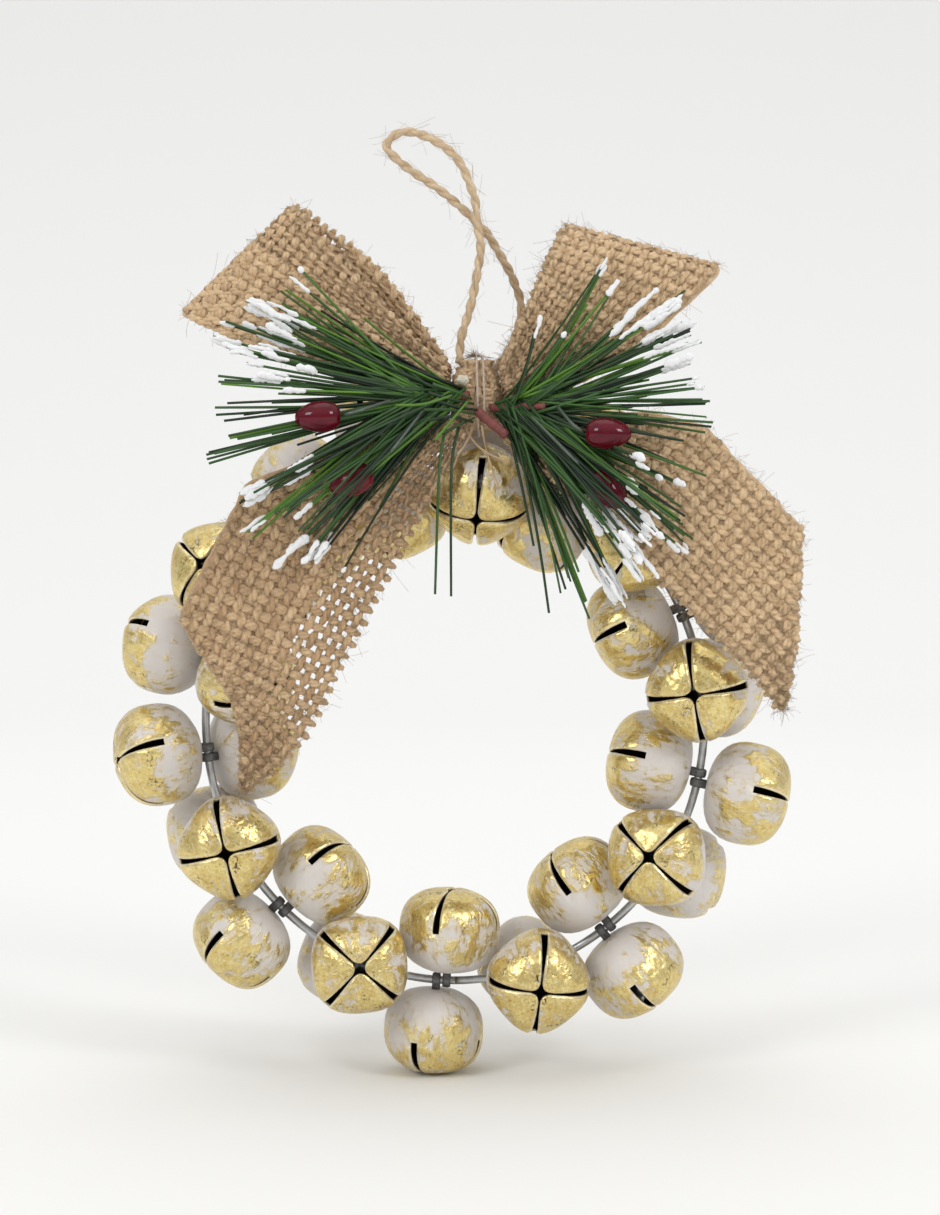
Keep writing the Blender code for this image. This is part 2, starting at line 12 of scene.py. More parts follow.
import bpy
import numpy as np
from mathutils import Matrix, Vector


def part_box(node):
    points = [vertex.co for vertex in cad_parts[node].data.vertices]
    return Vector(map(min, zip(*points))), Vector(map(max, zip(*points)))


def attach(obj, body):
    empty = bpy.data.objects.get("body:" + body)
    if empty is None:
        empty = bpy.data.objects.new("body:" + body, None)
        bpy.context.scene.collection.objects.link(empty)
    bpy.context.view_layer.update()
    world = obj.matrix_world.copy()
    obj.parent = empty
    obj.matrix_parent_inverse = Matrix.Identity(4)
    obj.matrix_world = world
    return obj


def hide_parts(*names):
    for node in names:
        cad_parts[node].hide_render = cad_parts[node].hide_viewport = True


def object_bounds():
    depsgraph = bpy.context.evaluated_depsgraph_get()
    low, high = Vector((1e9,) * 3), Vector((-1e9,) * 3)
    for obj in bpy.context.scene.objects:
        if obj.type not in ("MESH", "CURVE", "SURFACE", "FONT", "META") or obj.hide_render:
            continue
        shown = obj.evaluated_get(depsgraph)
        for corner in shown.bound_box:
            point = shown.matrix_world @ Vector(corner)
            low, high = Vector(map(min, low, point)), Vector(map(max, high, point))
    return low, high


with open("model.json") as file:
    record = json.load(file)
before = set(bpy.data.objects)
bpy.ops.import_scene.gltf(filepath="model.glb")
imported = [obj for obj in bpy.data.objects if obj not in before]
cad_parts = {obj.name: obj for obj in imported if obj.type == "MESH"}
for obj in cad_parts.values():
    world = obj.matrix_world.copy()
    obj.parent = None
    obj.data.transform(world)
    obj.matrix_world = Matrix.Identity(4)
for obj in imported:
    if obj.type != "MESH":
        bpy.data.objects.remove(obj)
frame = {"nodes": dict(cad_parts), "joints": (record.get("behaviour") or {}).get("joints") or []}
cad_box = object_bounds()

# %% [markdown]
# Every size below is in millimetres from the middle of the wire ring, as a maker would measure
# the wreath on a bench. One helper turns such points into the frame's metres.

# %% From the bench to the frame
MM = 0.001
ring_low, ring_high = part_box("wire_ring")
RING_MIDDLE = np.array((ring_low + ring_high) / 2) / MM
FLOOR = cad_box[0].z


def in_frame(points):
    return (np.asarray(points, float) + RING_MIDDLE) * MM


print("ring middle, mm", RING_MIDDLE.round(2))

# %% [markdown]
# The photograph looks at the wreath from the front and a little above, from about two thirds of
# a metre. A long lens at that distance keeps the ring nearly undistorted.

# %% The camera
LOOK_AT = (3.66, 0.0, 28.05)
DISTANCE = 650.0
ABOVE = math.radians(4)
LENS = 102.06


def link(name, data):
    """A new object in the scene."""
    made = bpy.data.objects.new(name, data)
    bpy.context.collection.objects.link(made)
    return made


camera_data = bpy.data.cameras.new("front_camera")
camera_data.sensor_fit = "HORIZONTAL"
camera_data.sensor_width = 36.0
camera_data.lens = LENS
camera_data.clip_start = 0.01
camera = link("front_camera", camera_data)
stand = np.array(LOOK_AT) + DISTANCE * np.array((0, -math.cos(ABOVE), math.sin(ABOVE)))
camera.location = in_frame(stand)
camera.rotation_euler = (math.pi / 2 - ABOVE, 0, 0)
bpy.context.scene.camera = camera
bpy.context.scene.view_settings.view_transform = "Standard"
print("camera at", [round(x, 3) for x in camera.location])

# %% [markdown]
# A finish is a material with the nodes that vary it. Writing its maths as plain Python keeps it
# readable: a wrapped socket answers to + - and *, and each sign adds one Math node.
# Every other node comes from one method that takes its kind, its settings and its sockets. A colour
# is noted by six hex digits.


# %% Finishes written as expressions
class Value:
    """A socket of a finish. Arithmetic on it adds Math nodes."""

    def __init__(self, finish, socket):
        self.finish = finish
        self.socket = socket

    def maths(self, operation, first, second):
        return self.finish.node("ShaderNodeMath", {"operation": operation}, {0: first, 1: second})

    def __add__(self, other):
        return self.maths("ADD", self, other)

    def __sub__(self, other):
        return self.maths("SUBTRACT", self, other)

    def __rsub__(self, other):
        return self.maths("SUBTRACT", other, self)

    def __mul__(self, other):
        return self.maths("MULTIPLY", self, other)

    __radd__ = __add__
    __rmul__ = __mul__

    def step(self, low, high):
        """A soft step from 0 at low to 1 at high."""
        settings = {"interpolation_type": "SMOOTHSTEP"}
        return self.finish.node("ShaderNodeMapRange", settings, {0: self, 1: low, 2: high})


class Finish:
    """A material, or the world's light, and the one way to add nodes to it."""

    def __init__(self, name, sockets, world=None):
        self.material = world or bpy.data.materials.new(name)
        self.material.use_nodes = True
        self.tree = self.material.node_tree
        self.shader = self.tree.nodes["Background" if world else "Principled BSDF"]
        self.set(sockets)

    def feed(self, socket, value):
        if isinstance(value, Value):
            self.tree.links.new(value.socket, socket)
        else:
            socket.default_value = tint(value) if isinstance(value, str) else value

    def set(self, sockets):
        for name, value in sockets.items():
            self.feed(self.shader.inputs[name], value)

    def node(self, kind, settings, sockets, out=0):
        made = self.tree.nodes.new(kind)
        for name, value in settings.items():
            if name == "stops":
                for stop, (place, colour) in zip(made.color_ramp.elements, value):
                    stop.position, stop.color = place, tint(colour)
            else:
                setattr(made, name, value)
        for name, value in sockets.items():
            self.feed(made.inputs[name], value)
        return Value(self, made.outputs[out])

    def mark(self, name, out="Fac"):
        """A value that the mesh carries on its points."""
        return self.node("ShaderNodeAttribute", {"attribute_name": name}, {}, out)

    def place(self):
        return self.node("ShaderNodeTexCoord", {}, {}, "Object")

    def noise(self, place, scale, detail=3.0):
        return self.node("ShaderNodeTexNoise", {}, {"Vector": place, "Scale": scale, "Detail": detail})

    def stretch(self, place, size):
        """A place measured with longer or shorter units along its axes."""
        return self.node("ShaderNodeVectorMath", {"operation": "MULTIPLY"}, {0: place, 1: size})

    def mix(self, share, first, second):
        return self.node("ShaderNodeMix", {"data_type": "RGBA"}, {0: share, 6: first, 7: second}, 2)

    def bump(self, height, strength, distance):
        sockets = {"Height": height, "Strength": strength, "Distance": distance * MM}
        return self.node("ShaderNodeBump", {}, sockets)

    def vary(self, cloud, dark, light, roughness, relief=None):
        """Colour, roughness and, if given, relief that all follow one cloudy value."""
        self.set({"Base Color": self.mix(cloud, dark, light), "Roughness": roughness + cloud * 0.2})
        if relief:
            self.set({"Normal": self.bump(cloud, *relief)})


def tint(code):
    """Six hex digits of a colour, turned into the shader's linear light."""
    parts = [int(code[k:k + 2], 16) / 255 for k in (0, 2, 4)]
    light = [c / 12.92 if c <= 0.04045 else ((c + 0.055) / 1.055) ** 2.4 for c in parts]
    return (*light, 1.0)


print("the finishes are ready to be mixed")

# %% [markdown]
# The wreath stands on a white sweep of paper under soft light. The paper is one sheet that
# bends from the floor to a slope behind, far enough away that the wreath can be seen from all sides,
# and there is no line where they meet. It is lit and keeps the shadow. Its colour is graded a
# little greyer in front and whiter behind, as painted shade and painted light.

# %% The paper sweep
SWEEP_FRONT = -2.5
SWEEP_FLAT = 0.8
SWEEP_BEND = 0.6
SWEEP_SLOPE = 45
SWEEP_RISE = 2.0
SWEEP_WIDTH = 4.0

paper = Finish("white_paper", {"Roughness": 0.9, "Specular IOR Level": 0.2})
paper_place = paper.place()
# painted shade and light: the paper's colour is greyer at the front and whiter behind
far = paper.node("ShaderNodeSeparateXYZ", {}, {0: paper_place}, "Y").step(-0.3, 0.7)
grain = paper.noise(paper_place, 900.0) * 0.15
paper.set({"Base Color": paper.mix(far * 0.9 + grain, "EAEAE8", "F7F7F6")})

profile = [(SWEEP_FRONT, 0.0), (0.0, 0.0), (SWEEP_FLAT, 0.0)]
for lean in np.radians(range(3, SWEEP_SLOPE + 1, 3)):
    profile.append((SWEEP_FLAT + SWEEP_BEND * math.sin(lean), SWEEP_BEND * (1 - math.cos(lean))))
profile.append((profile[-1][0] + SWEEP_RISE, profile[-1][1] + SWEEP_RISE * math.tan(lean)))
sweep_points = [(x, y, z + FLOOR) for y, z in profile for x in (-SWEEP_WIDTH, SWEEP_WIDTH)]
sweep_faces = [(k, k + 1, k + 3, k + 2) for k in range(0, 2 * len(profile) - 2, 2)]


def smooth_mesh(name, points, faces, finishes):
    mesh = bpy.data.meshes.new(name)
    mesh.from_pydata(points, [], faces)
    mesh.shade_smooth()
    for finish in finishes:
        mesh.materials.append(finish.material)
    return mesh


sweep = link("paper_sweep", smooth_mesh("paper_sweep", sweep_points, sweep_faces, [paper]))
print("paper sweep of", len(sweep_faces), "bands")

# %% [markdown]
# Soft light comes from all round, as in a light tent, brighter from above than from the sides, with
# a panel on each side of the camera. The difference between roof and sides gives the gold its depth,
# and the panels give it its gleam and the berries their spots.

# %% Soft light
TENT_SIDE, TENT_ROOF = 0.42, 0.95
PANELS = (("left_panel", (-0.8, -0.95, 0.55), 0.4, 4.4), ("right_panel", (0.85, -0.8, 0.5), 0.35, 4.0),
          ("top_panel", (0.0, 0.1, 1.1), 0.9, 1.6))

tent = Finish("light_tent", {"Color": (1.0, 1.0, 1.0, 1.0)}, bpy.data.worlds.new("light_tent"))
up = tent.node("ShaderNodeSeparateXYZ", {}, {0: tent.node("ShaderNodeTexCoord", {}, {}, "Generated")}, "Z")
tent.set({"Strength": TENT_SIDE + up.step(0.0, 0.8) * (TENT_ROOF - TENT_SIDE)})
bpy.context.scene.world = tent.material
for name, place, size, power in PANELS:
    lamp_data = bpy.data.lights.new(name, "AREA")
    lamp_data.size = size
    lamp_data.energy = power
    lamp = link(name, lamp_data)
    lamp.location = place
    aim = Vector(in_frame(LOOK_AT)) - Vector(place)
    lamp.rotation_euler = aim.to_track_quat("-Z", "Y").to_euler()
print("panels", len(PANELS))

# %% [markdown]
# Yarns, twine, fibres and needles are all long thin tubes. One collector sweeps them along their
# paths and joins them in a mesh. It also notes, on each point, where the point lies on its
# strand, turned with the twist, so that a finish can draw fibres that wind round the yarn.


# %% Strands
def curve_at(points, share):
    """Points at shares from 0 to 1 of the smooth curve through the given points."""
    points = np.asarray(points, float)
    place = np.clip(np.asarray(share, float), 0, 1) * (len(points) - 1)
    start = np.minimum(place.astype(int), len(points) - 2)
    t = (place - start)[..., None]
    a, b, c, d = (points[np.clip(start + k, 0, len(points) - 1)] for k in (-1, 0, 1, 2))
    return b + 0.5 * t * (c - a + t * (2 * a - 5 * b + 4 * c - d + t * (3 * (b - c) + d - a)))


def walk(points):
    """The way walked along a line of points, up to each of them."""
    return np.concatenate(([0], np.cumsum(np.linalg.norm(np.diff(points, axis=0), axis=1))))


def even_curve(points, step):
    """The same curve with its points one step apart."""
    fine = curve_at(points, np.linspace(0, 1, 1500))
    walked = walk(fine)
    marks = np.linspace(0, walked[-1], max(3, round(walked[-1] / step)))
    return np.stack([np.interp(marks, walked, fine[:, k]) for k in range(3)], axis=1)


def unit(vectors):
    return vectors / np.maximum(np.linalg.norm(vectors, axis=-1, keepdims=True), 1e-9)


def tube_faces(rings, sides, start=0):
    """The faces of a stack of rings of points, closed at both ends."""
    first = start + sides * np.arange(rings - 1)[:, None] + np.arange(sides)
    after = start + sides * np.arange(rings - 1)[:, None] + (np.arange(sides) + 1) % sides
    faces = np.stack((first, after, after + sides, first + sides), axis=-1).reshape(-1, 4).tolist()
    end = start + sides * (rings - 1)
    return faces + [list(range(start + sides - 1, start - 1, -1)), list(range(end, end + sides))]


STREAK_START = 600.0


class Strands:
    """Thin tubes that become one mesh."""

    def __init__(self, sides):
        self.turns = 2 * np.pi * np.arange(sides) / sides
        self.points, self.faces, self.lay, self.shade = [], [], [], []
        self.count = 0

    def add(self, path, up, wide, thick, shade=0.0, twist=0.0):
        path = np.asarray(path, float)
        size, sides = len(path), len(self.turns)
        along = unit(np.gradient(path, axis=0))
        side = unit(np.cross(along, np.broadcast_to(up, path.shape)))
        rise = np.cross(side, along)
        half_wide = np.broadcast_to(np.asarray(wide, float) / 2, size)[:, None, None]
        half_thick = np.broadcast_to(np.asarray(thick, float) / 2, size)[:, None, None]
        cos, sin = np.cos(self.turns)[:, None], np.sin(self.turns)[:, None]
        ring = path[:, None] + side[:, None] * cos * half_wide + rise[:, None] * sin * half_thick
        walked = walk(path)
        spin = self.turns + twist * walked[:, None]
        reach = np.broadcast_to(walked[:, None], spin.shape) + STREAK_START * shade
        self.lay.append(np.stack((np.cos(spin), np.sin(spin), reach), axis=-1).reshape(-1, 3))
        self.shade.append(np.full(size * sides, shade))
        self.points.append(ring.reshape(-1, 3))
        self.faces += tube_faces(size, sides, self.count)
        self.count += size * sides

    def piece(self, name, finish, slot):
        marks = {"shade": np.concatenate(self.shade), "lay": np.concatenate(self.lay)}
        return piece(name, np.concatenate(self.points), self.faces, [finish], marks=marks)


def piece(name, points, faces, finishes, body="wreath", marks=None, parts=None):
    """A smooth mesh that rides on a body, with marks for its finish on its points."""
    mesh = smooth_mesh(name, in_frame(points).tolist(), faces, finishes)
    if parts is not None:
        mesh.polygons.foreach_set("material_index", np.asarray(parts, np.int32))
    for mark, values in (marks or {}).items():
        values = np.asarray(values, np.float32)
        flat = values.ndim == 1
        note = mesh.attributes.new(mark, "FLOAT" if flat else "FLOAT_VECTOR", "POINT")
        note.data.foreach_set("value" if flat else "vector", values.ravel())
    made = link(name, mesh)
    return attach(made, body)


print("strands can be wound")

# %% [markdown]
# The hanging loop is jute twine: two plies of long pale fibres wound round each other, tied into
# the knot at both ends and thrown over in a slack loop. A plain tube would look like wire, so the
# two plies are really wound, and loose fibres stand off them.

# %% Jute finish
FIBRE_STRETCH = (1.0, 1.0, 0.12)


def fibre_finish(name, dark, middle, light, roughness):
    """Twisted plant fibre: streaks along the lay, each strand in a shade of its own."""
    finish = Finish(name, {"Sheen Weight": 0.25, "Sheen Roughness": 0.6, "Specular IOR Level": 0.2})
    lay = finish.stretch(finish.mark("lay", "Vector"), FIBRE_STRETCH)
    streak = finish.noise(lay, 3.2, 4.0)
    patch = finish.noise(finish.mark("lay", "Vector"), 0.35, 2.0)
    tone = streak * 0.75 + finish.mark("shade") * 0.28 + patch * 0.35 - 0.12
    shades = finish.node("ShaderNodeValToRGB", {"stops": ((0.2, dark), (0.8, light))}, {"Fac": tone})
    finish.set({"Base Color": finish.mix(0.35, shades, middle), "Roughness": roughness + streak * 0.12})
    finish.set({"Normal": finish.bump(streak, 1.0, 0.4)})
    return finish


jute = fibre_finish("jute", "A07C50", "DDBF96", "F3E0C2", 0.72)
loose_fibre = fibre_finish("loose_fibre", "A57E50", "C6A274", "DEC49A", 0.7)
print("jute and loose fibre mixed")

# %% The twine
CORD_ROUTE = (
    (1.2, -12.6, 87.2), (1.6, -12.8, 93), (3.9, -12.5, 101), (5.3, -12, 108), (6.2, -11.5, 115),
    (5.2, -11.2, 120.7), (5.0, -11, 125), (3.4, -10.6, 130), (0.6, -10, 135.5), (-5.0, -9.4, 140),
    (-12.0, -9, 142), (-16.2, -8.6, 139), (-13.8, -8.0, 135.6), (-9.3, -7.6, 132.2),
    (-3.8, -7.4, 128.6), (1.3, -7.3, 124.4), (5.4, -7.2, 120.6), (7.9, -6.6, 117.8),
    (11.1, -5, 112.8), (14.2, -3, 107), (16, -1.6, 100), (13.4, -2.2, 91), (8.0, -5.2, 84))
PLY_DIAMETER = 1.45
PLY_OFFSET = 0.4
PLY_LAY = 7.0
FIBRE_TWIST = 1.1
TWINE_HAIRS = 230


def fibre_path(root, way, length, draw, curl=0.35):
    """A short curved fibre that leaves its root and drifts."""
    drift = np.array([draw.uniform(-1, 1) for _ in range(3)]) * curl * length
    share = np.linspace(0, 1, 5)[:, None]
    return root + way * length * share + drift * share ** 2


draw = random.Random(11)
route = even_curve(CORD_ROUTE, 0.5)
heading = unit(np.gradient(route, axis=0))
across = unit(np.cross(heading, (0, 1, 0)))
rise = np.cross(across, heading)
walked = 0.5 * np.arange(len(route))[:, None]
plies = Strands(9)
for ply in (0, 1):
    turn = 2 * np.pi * walked / PLY_LAY + np.pi * ply
    plies.add(route + PLY_OFFSET * (across * np.cos(turn) + rise * np.sin(turn)), (0, 1, 0),
              PLY_DIAMETER, PLY_DIAMETER, 0.4 * ply, FIBRE_TWIST)
twine = plies.piece("hanging_twine", jute, "jute_twine")
twine_fuzz = Strands(3)
for _ in range(TWINE_HAIRS):
    k = draw.randrange(4, len(route) - 4)
    turn = draw.uniform(0, 2 * math.pi)
    out = across[k] * math.cos(turn) + rise[k] * math.sin(turn)
    way = unit(out * draw.uniform(0.2, 0.7) + heading[k] * draw.choice((-1, 1)))
    hair = fibre_path(route[k] + out * 0.9, way, draw.uniform(1.5, 5.0), draw)
    twine_fuzz.add(hair, (0.3, 1, 0.2), 0.07, 0.07, draw.random())
twine_hairs = twine_fuzz.piece("hanging_twine_fibres", loose_fibre, "jute_twine")
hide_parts("hanging_loop")
in_frame(CORD_ROUTE[0])
in_frame(route)

# %% [markdown]
# A jingle bell is pressed from thin sheet. Four tongues fold up to meet round a small star, which
# leaves four slots that widen towards the waist. The bells here are painted a warm white and then
# leafed by hand in gold on the slotted half, so the leaf ends raggedly, is scratched down to the
# paint and has dark flecks. The finish below paints those layers from noise, in places that the
# mesh carries, so each bell is worn in its own way. It also paints light and shade: highlights and
# shade in the leaf's crinkles, dark reflection in the flecks and a highlight on the slots' cut edges.

# %% White paint under gold leaf
leaf_paint = Finish("white_paint_under_gold_leaf", {"IOR": 1.5})
place = leaf_paint.mark("leaf_place", "Vector")
brush = leaf_paint.stretch(leaf_paint.mark("brush_place", "Vector"), (1.0, 1.0, 0.35))
rim = leaf_paint.mark("rim")
front = leaf_paint.mark("front")
cloud = leaf_paint.noise(place, 0.15, 2.0)
dent = leaf_paint.noise(place, 0.32, 1.5)
ragged = leaf_paint.noise(place, 0.5, 4.0)
streak = leaf_paint.noise(brush, 0.8, 4.0)
crinkle = leaf_paint.noise(leaf_paint.stretch(place, (1.0, 1.0, 0.6)), 1.5, 3.0)

# the leaf thins out in brush streaks, so that a veil of gold ends it
cover = front * 0.55 + (cloud - 0.5) * 2.6 + (ragged - 0.5) * 1.3 + (streak - 0.5) * 1.6 + 0.12
flakes = (cover + (crinkle - 0.5) * 0.9).step(0.0, 0.3)
leaf = cover.step(-0.4, 0.5) * 0.6 + flakes * 0.4
flecks = leaf_paint.noise(place, 0.24, 1.0).step(0.58, 0.68) + front.step(0.9, 1.0) * 0.4
# the dark flecks are partly real tarnish and partly painted dark reflection of the crinkled leaf
tarnish_and_dark_reflection = flecks * leaf_paint.noise(place, 1.7, 3.0).step(0.5, 0.6)

gold = leaf_paint.mix(cloud * 0.4 + dent * 0.7, "B48C34", "F6E6A2")
# painted highlight: near-white gold on the high points of the leaf's crinkles
gold = leaf_paint.mix(crinkle.step(0.5, 0.7) * 0.35, gold, "FCF6D8")
# painted shade: dark amber in the low points of the leaf's crinkles
gold = leaf_paint.mix((1 - crinkle).step(0.56, 0.72) * 0.35, gold, "866A28")
gold = leaf_paint.mix(tarnish_and_dark_reflection * 0.75, gold, "3A2E16")
# painted highlight: near-white gold along the rolled cut edges of the slots
gold = leaf_paint.mix(rim * 0.6, gold, "FFFAE2")
white = leaf_paint.mix(cloud, "CBC4BF", "DEDAD6")
leaf_paint.set({"Base Color": leaf_paint.mix(leaf, white, gold), "Metallic": leaf * (1 - tarnish_and_dark_reflection) * 0.92,
                "Roughness": 0.42 - leaf * 0.2 + crinkle * 0.16})
relief = leaf * (dent * 1.8 + crinkle * 0.3) + ragged * 0.1
leaf_paint.set({"Normal": leaf_paint.bump(relief, 0.6, 0.5)})
print("leaf paint has", len(leaf_paint.tree.nodes), "nodes")

# %% [markdown]
# Inside, the shell is painted near black, as painted shade, and its cut edges show thin bright
# metal. The wire and the balls are plain zinc-coated steel with a cloudy spangle, and the straps
# are a duller grey.

# %% Bare metal and the painted shade inside
bell_inside_shade = Finish("dark_inside_of_a_bell", {"Roughness": 0.7})
# painted shade: the inside is near black, clouded a little, where shade falls in the shell
inside_shade_cloud = bell_inside_shade.noise(bell_inside_shade.mark("leaf_place", "Vector"), 0.8)
bell_inside_shade.set({"Base Color": bell_inside_shade.mix(inside_shade_cloud, "0E0A06", "2A1E10")})

cut_edge = Finish("cut_edge_of_the_sheet", {"Metallic": 0.9})
cut_edge.vary(cut_edge.noise(cut_edge.mark("leaf_place", "Vector"), 2.2), "B79A55", "F0E6C8", 0.28)

zinc = Finish("zinc_coated_steel", {"Metallic": 1.0})
zinc_place = zinc.place()
spangle = zinc.noise(zinc_place, 420.0, 4.0)
drawn = zinc.noise(zinc_place, 1900.0, 2.0)
zinc.set({"Base Color": zinc.mix(spangle, "9A9C9E", "DDDFE1"),
          "Roughness": 0.26 + spangle * 0.22, "Normal": zinc.bump(drawn, 0.25, 0.05)})

strap_metal = Finish("dull_strap", {"Metallic": 0.8})
strap_metal.vary(strap_metal.noise(strap_metal.mark("leaf_place", "Vector"), 1.6), "5A5C5E", "8E9092", 0.42)
print("metal finishes mixed")

# %% The shape of a shell
HALF_WIDTH = 12.1
CORNER = 0.5
HALF_LENGTH = 10.3
BELL_MIDDLE = 12.5
SQUARENESS = 0.8
WALL = 0.6
SLOT_HALF = (0.22, 0.85)
STAR_ROUND = 2.2
WAIST = 93.0
EDGE_ROLL = 0.3
EDGE_BAND = 0.7
BACK_ROWS = (5, 12, 20, 30, 40, 50, 60, 70, 80, 87, WAIST)
FRONT_REACH = (11.95, 11.65, 11.15, 10.5, 9.6, 8.6, 7.5, 6.4, 5.3, 4.3, 3.5, 2.9, 2.45, 2.1, 1.8, 1.5, 1.26)
PETAL_COLUMNS = 11


def shell_point(polar, around):
    """A point of the shell's outside. Polar runs from the strap, 0, to the star, half a turn."""
    reach = np.sin(polar) ** SQUARENESS * (HALF_WIDTH + CORNER * np.cos(4 * around))
    lift = np.sign(np.cos(polar)) * np.abs(np.cos(polar)) ** SQUARENESS * HALF_LENGTH
    return np.stack((reach * np.cos(around), reach * np.sin(around), BELL_MIDDLE - lift), axis=-1)


def shell_normal(polar, around):
    step = 0.01
    down = shell_point(polar + step, around) - shell_point(polar - step, around)
    over = shell_point(polar, around + step) - shell_point(polar, around - step)
    return unit(np.cross(over, down))


def petal_half_angle(reach):
    """Half the angle that a tongue spans at a distance from the bell's axis."""
    centre = SLOT_HALF[0] + STAR_ROUND
    if reach < math.hypot(centre, SLOT_HALF[0]):
        far = centre * math.sqrt(2)
        return math.acos(min(1.0, (reach ** 2 + far ** 2 - STAR_ROUND ** 2) / (2 * reach * far)))
    widening = max(0.0, (reach - centre) / (HALF_WIDTH - centre)) ** 1.5
    half_slot = SLOT_HALF[0] + (SLOT_HALF[1] - SLOT_HALF[0]) * widening
    return math.pi / 4 - math.asin(half_slot / reach)


def petal_columns(reach):
    """Shares from -1 to 1 across a tongue, with one column close to each cut edge."""
    half = petal_half_angle(reach)
    rim = 1 - min(0.35, EDGE_BAND / (reach * half + 1e-6))
    return half, np.concatenate(([-1], np.linspace(-rim, rim, PETAL_COLUMNS), [1]))


print("star hole is", round((SLOT_HALF[0] + STAR_ROUND) * math.sqrt(2) - STAR_ROUND, 2), "mm in radius")


# %% One shell with its slots
def shell_mesh():
    """Outside and inside points of a shell, the faces of one side, and where a cut edge is rolled in."""
    rows = []
    for degrees in BACK_ROWS:
        half, columns = petal_columns(HALF_WIDTH)
        rows.append((math.radians(degrees), half, columns))
    for reach in FRONT_REACH:
        polar = math.pi - math.asin((reach / HALF_WIDTH) ** (1 / SQUARENESS))
        rows.append((polar, *petal_columns(reach)))
    wide = PETAL_COLUMNS + 2
    polar = np.array([[row[0]] * (4 * wide) for row in rows])
    around = np.array([[petal * math.pi / 2 + math.pi / 4 + row[1] * share
                        for petal in range(4) for share in row[2]] for row in rows])
    outside = shell_point(polar, around)
    normal = shell_normal(polar, around)
    slotted = np.arange(len(rows)) >= len(BACK_ROWS) - 1
    edge = np.tile(np.isin(np.arange(wide), (0, wide - 1)), 4)
    roll = (slotted[:, None] & edge[None]) * EDGE_ROLL
    roll[-1] = EDGE_ROLL
    outside -= normal * roll[..., None]
    inside = outside - normal * WALL
    faces = []
    for row in range(len(rows) - 1):
        for column in range(4 * wide):
            after = (column + 1) % (4 * wide)
            if slotted[row] and column % wide == wide - 1:
                continue
            faces.append([row * 4 * wide + column, row * 4 * wide + after,
                          (row + 1) * 4 * wide + after, (row + 1) * 4 * wide + column])
    faces.append(list(range(4 * wide - 1, -1, -1)))
    return outside.reshape(-1, 3), inside.reshape(-1, 3), faces, roll.ravel() / EDGE_ROLL


def thick_shell(outside, inside, faces, rim):
    """The same faces on both sides of the sheet, and a band round every cut edge.

    The part of each face is 0 outside, 1 inside or 2 on a cut edge."""
    size = len(outside)
    used = {}
    for face in faces:
        for a, b in zip(face, face[1:] + face[:1]):
            used[(a, b)] = True
    rims = [[b, a, a + size, b + size] for a, b in used if (b, a) not in used]
    within = [[k + size for k in reversed(face)] for face in faces]
    parts = [0] * len(faces) + [1] * len(within) + [2] * len(rims)
    return np.concatenate((outside, inside)), faces + within + rims, parts, np.concatenate((rim, rim))


shell_points, shell_faces, shell_parts, shell_rim_highlight = thick_shell(*shell_mesh())
print("one shell has", len(shell_faces), "faces")

# %% [markdown]
# A narrow strap on the back of each shell runs round the wire. Bells are strung in pairs that face
# away from each other, one pair facing in and out, the next facing front and rear, so that the
# wreath is full from every side. The joint in the frame gives each bell's place on the wire.

# %% String the bells
STATIONS = (
    (("inner", 90, -16), ("outer", -90, 22)), (("front", -5, -25), ("rear", 188, 10)),
    (("inner", 92, -10), ("outer", -88, 8)), (("front", 18, -12), ("rear", 208, 20)),
    (("inner", 96, 12), ("outer", -84, -13)), (("front", 10, 2), ("rear", 200, -15)),
    (("inner", 92, 12), ("outer", -88, 30)), (("front", 4, 15), ("rear", 184, 5)),
    (("inner", 122, 40), ("outer", -84, 12)), (("front", 38, 3), ("rear", 222, 30)),
    (("inner", 120, 25), ("outer", -96, -20)), (("front", 30, -20), ("rear", -150, 38)),
    (("front", -26, -7), ("rear", 152, 12)), (("inner", 50, 33), ("outer", -112, 24)),
    (("inner", 126, -5), ("outer", -68, 20)), (("front", 0, -12), ("rear", 204, -30)),
    (("inner", 94, -24), ("outer", -86, 26)), (("front", 7, -16), ("rear", 196, 42)))
STRAP_MIDDLE = 1.55
STRAP_SIZE = (2.0, 0.5)

joints = {joint["name"]: joint for joint in frame["joints"]}
strap_turn = np.radians(np.linspace(40, -220, 23))
strap_path = np.stack((0 * strap_turn, np.cos(strap_turn), np.sin(strap_turn)), axis=1) * STRAP_MIDDLE
strap_path = np.concatenate(([(0, 1.25, 2.6)], strap_path, [(0, -1.25, 2.6)]))
strap_out = unit(strap_path * (0, 1, 1))
strap = Strands(8)
strap.add(strap_path, strap_out, *STRAP_SIZE)
strap_points = np.concatenate(strap.points)


def bell_axes(name, lean):
    """A bell's place on the wire, in millimetres, and its axes: along the wire, sideways, out."""
    joint = joints[name + "_swing"]
    along = np.array(joint["axis"], float)
    inward = np.array((-along[2], 0, along[0]))
    lean = math.radians(lean)
    out = np.array((0, -1, 0)) * math.cos(lean) + inward * math.sin(lean)
    origin = np.array(joint["pos_m"], float) / MM - RING_MIDDLE
    return origin, np.stack((along, np.cross(out, along), out))


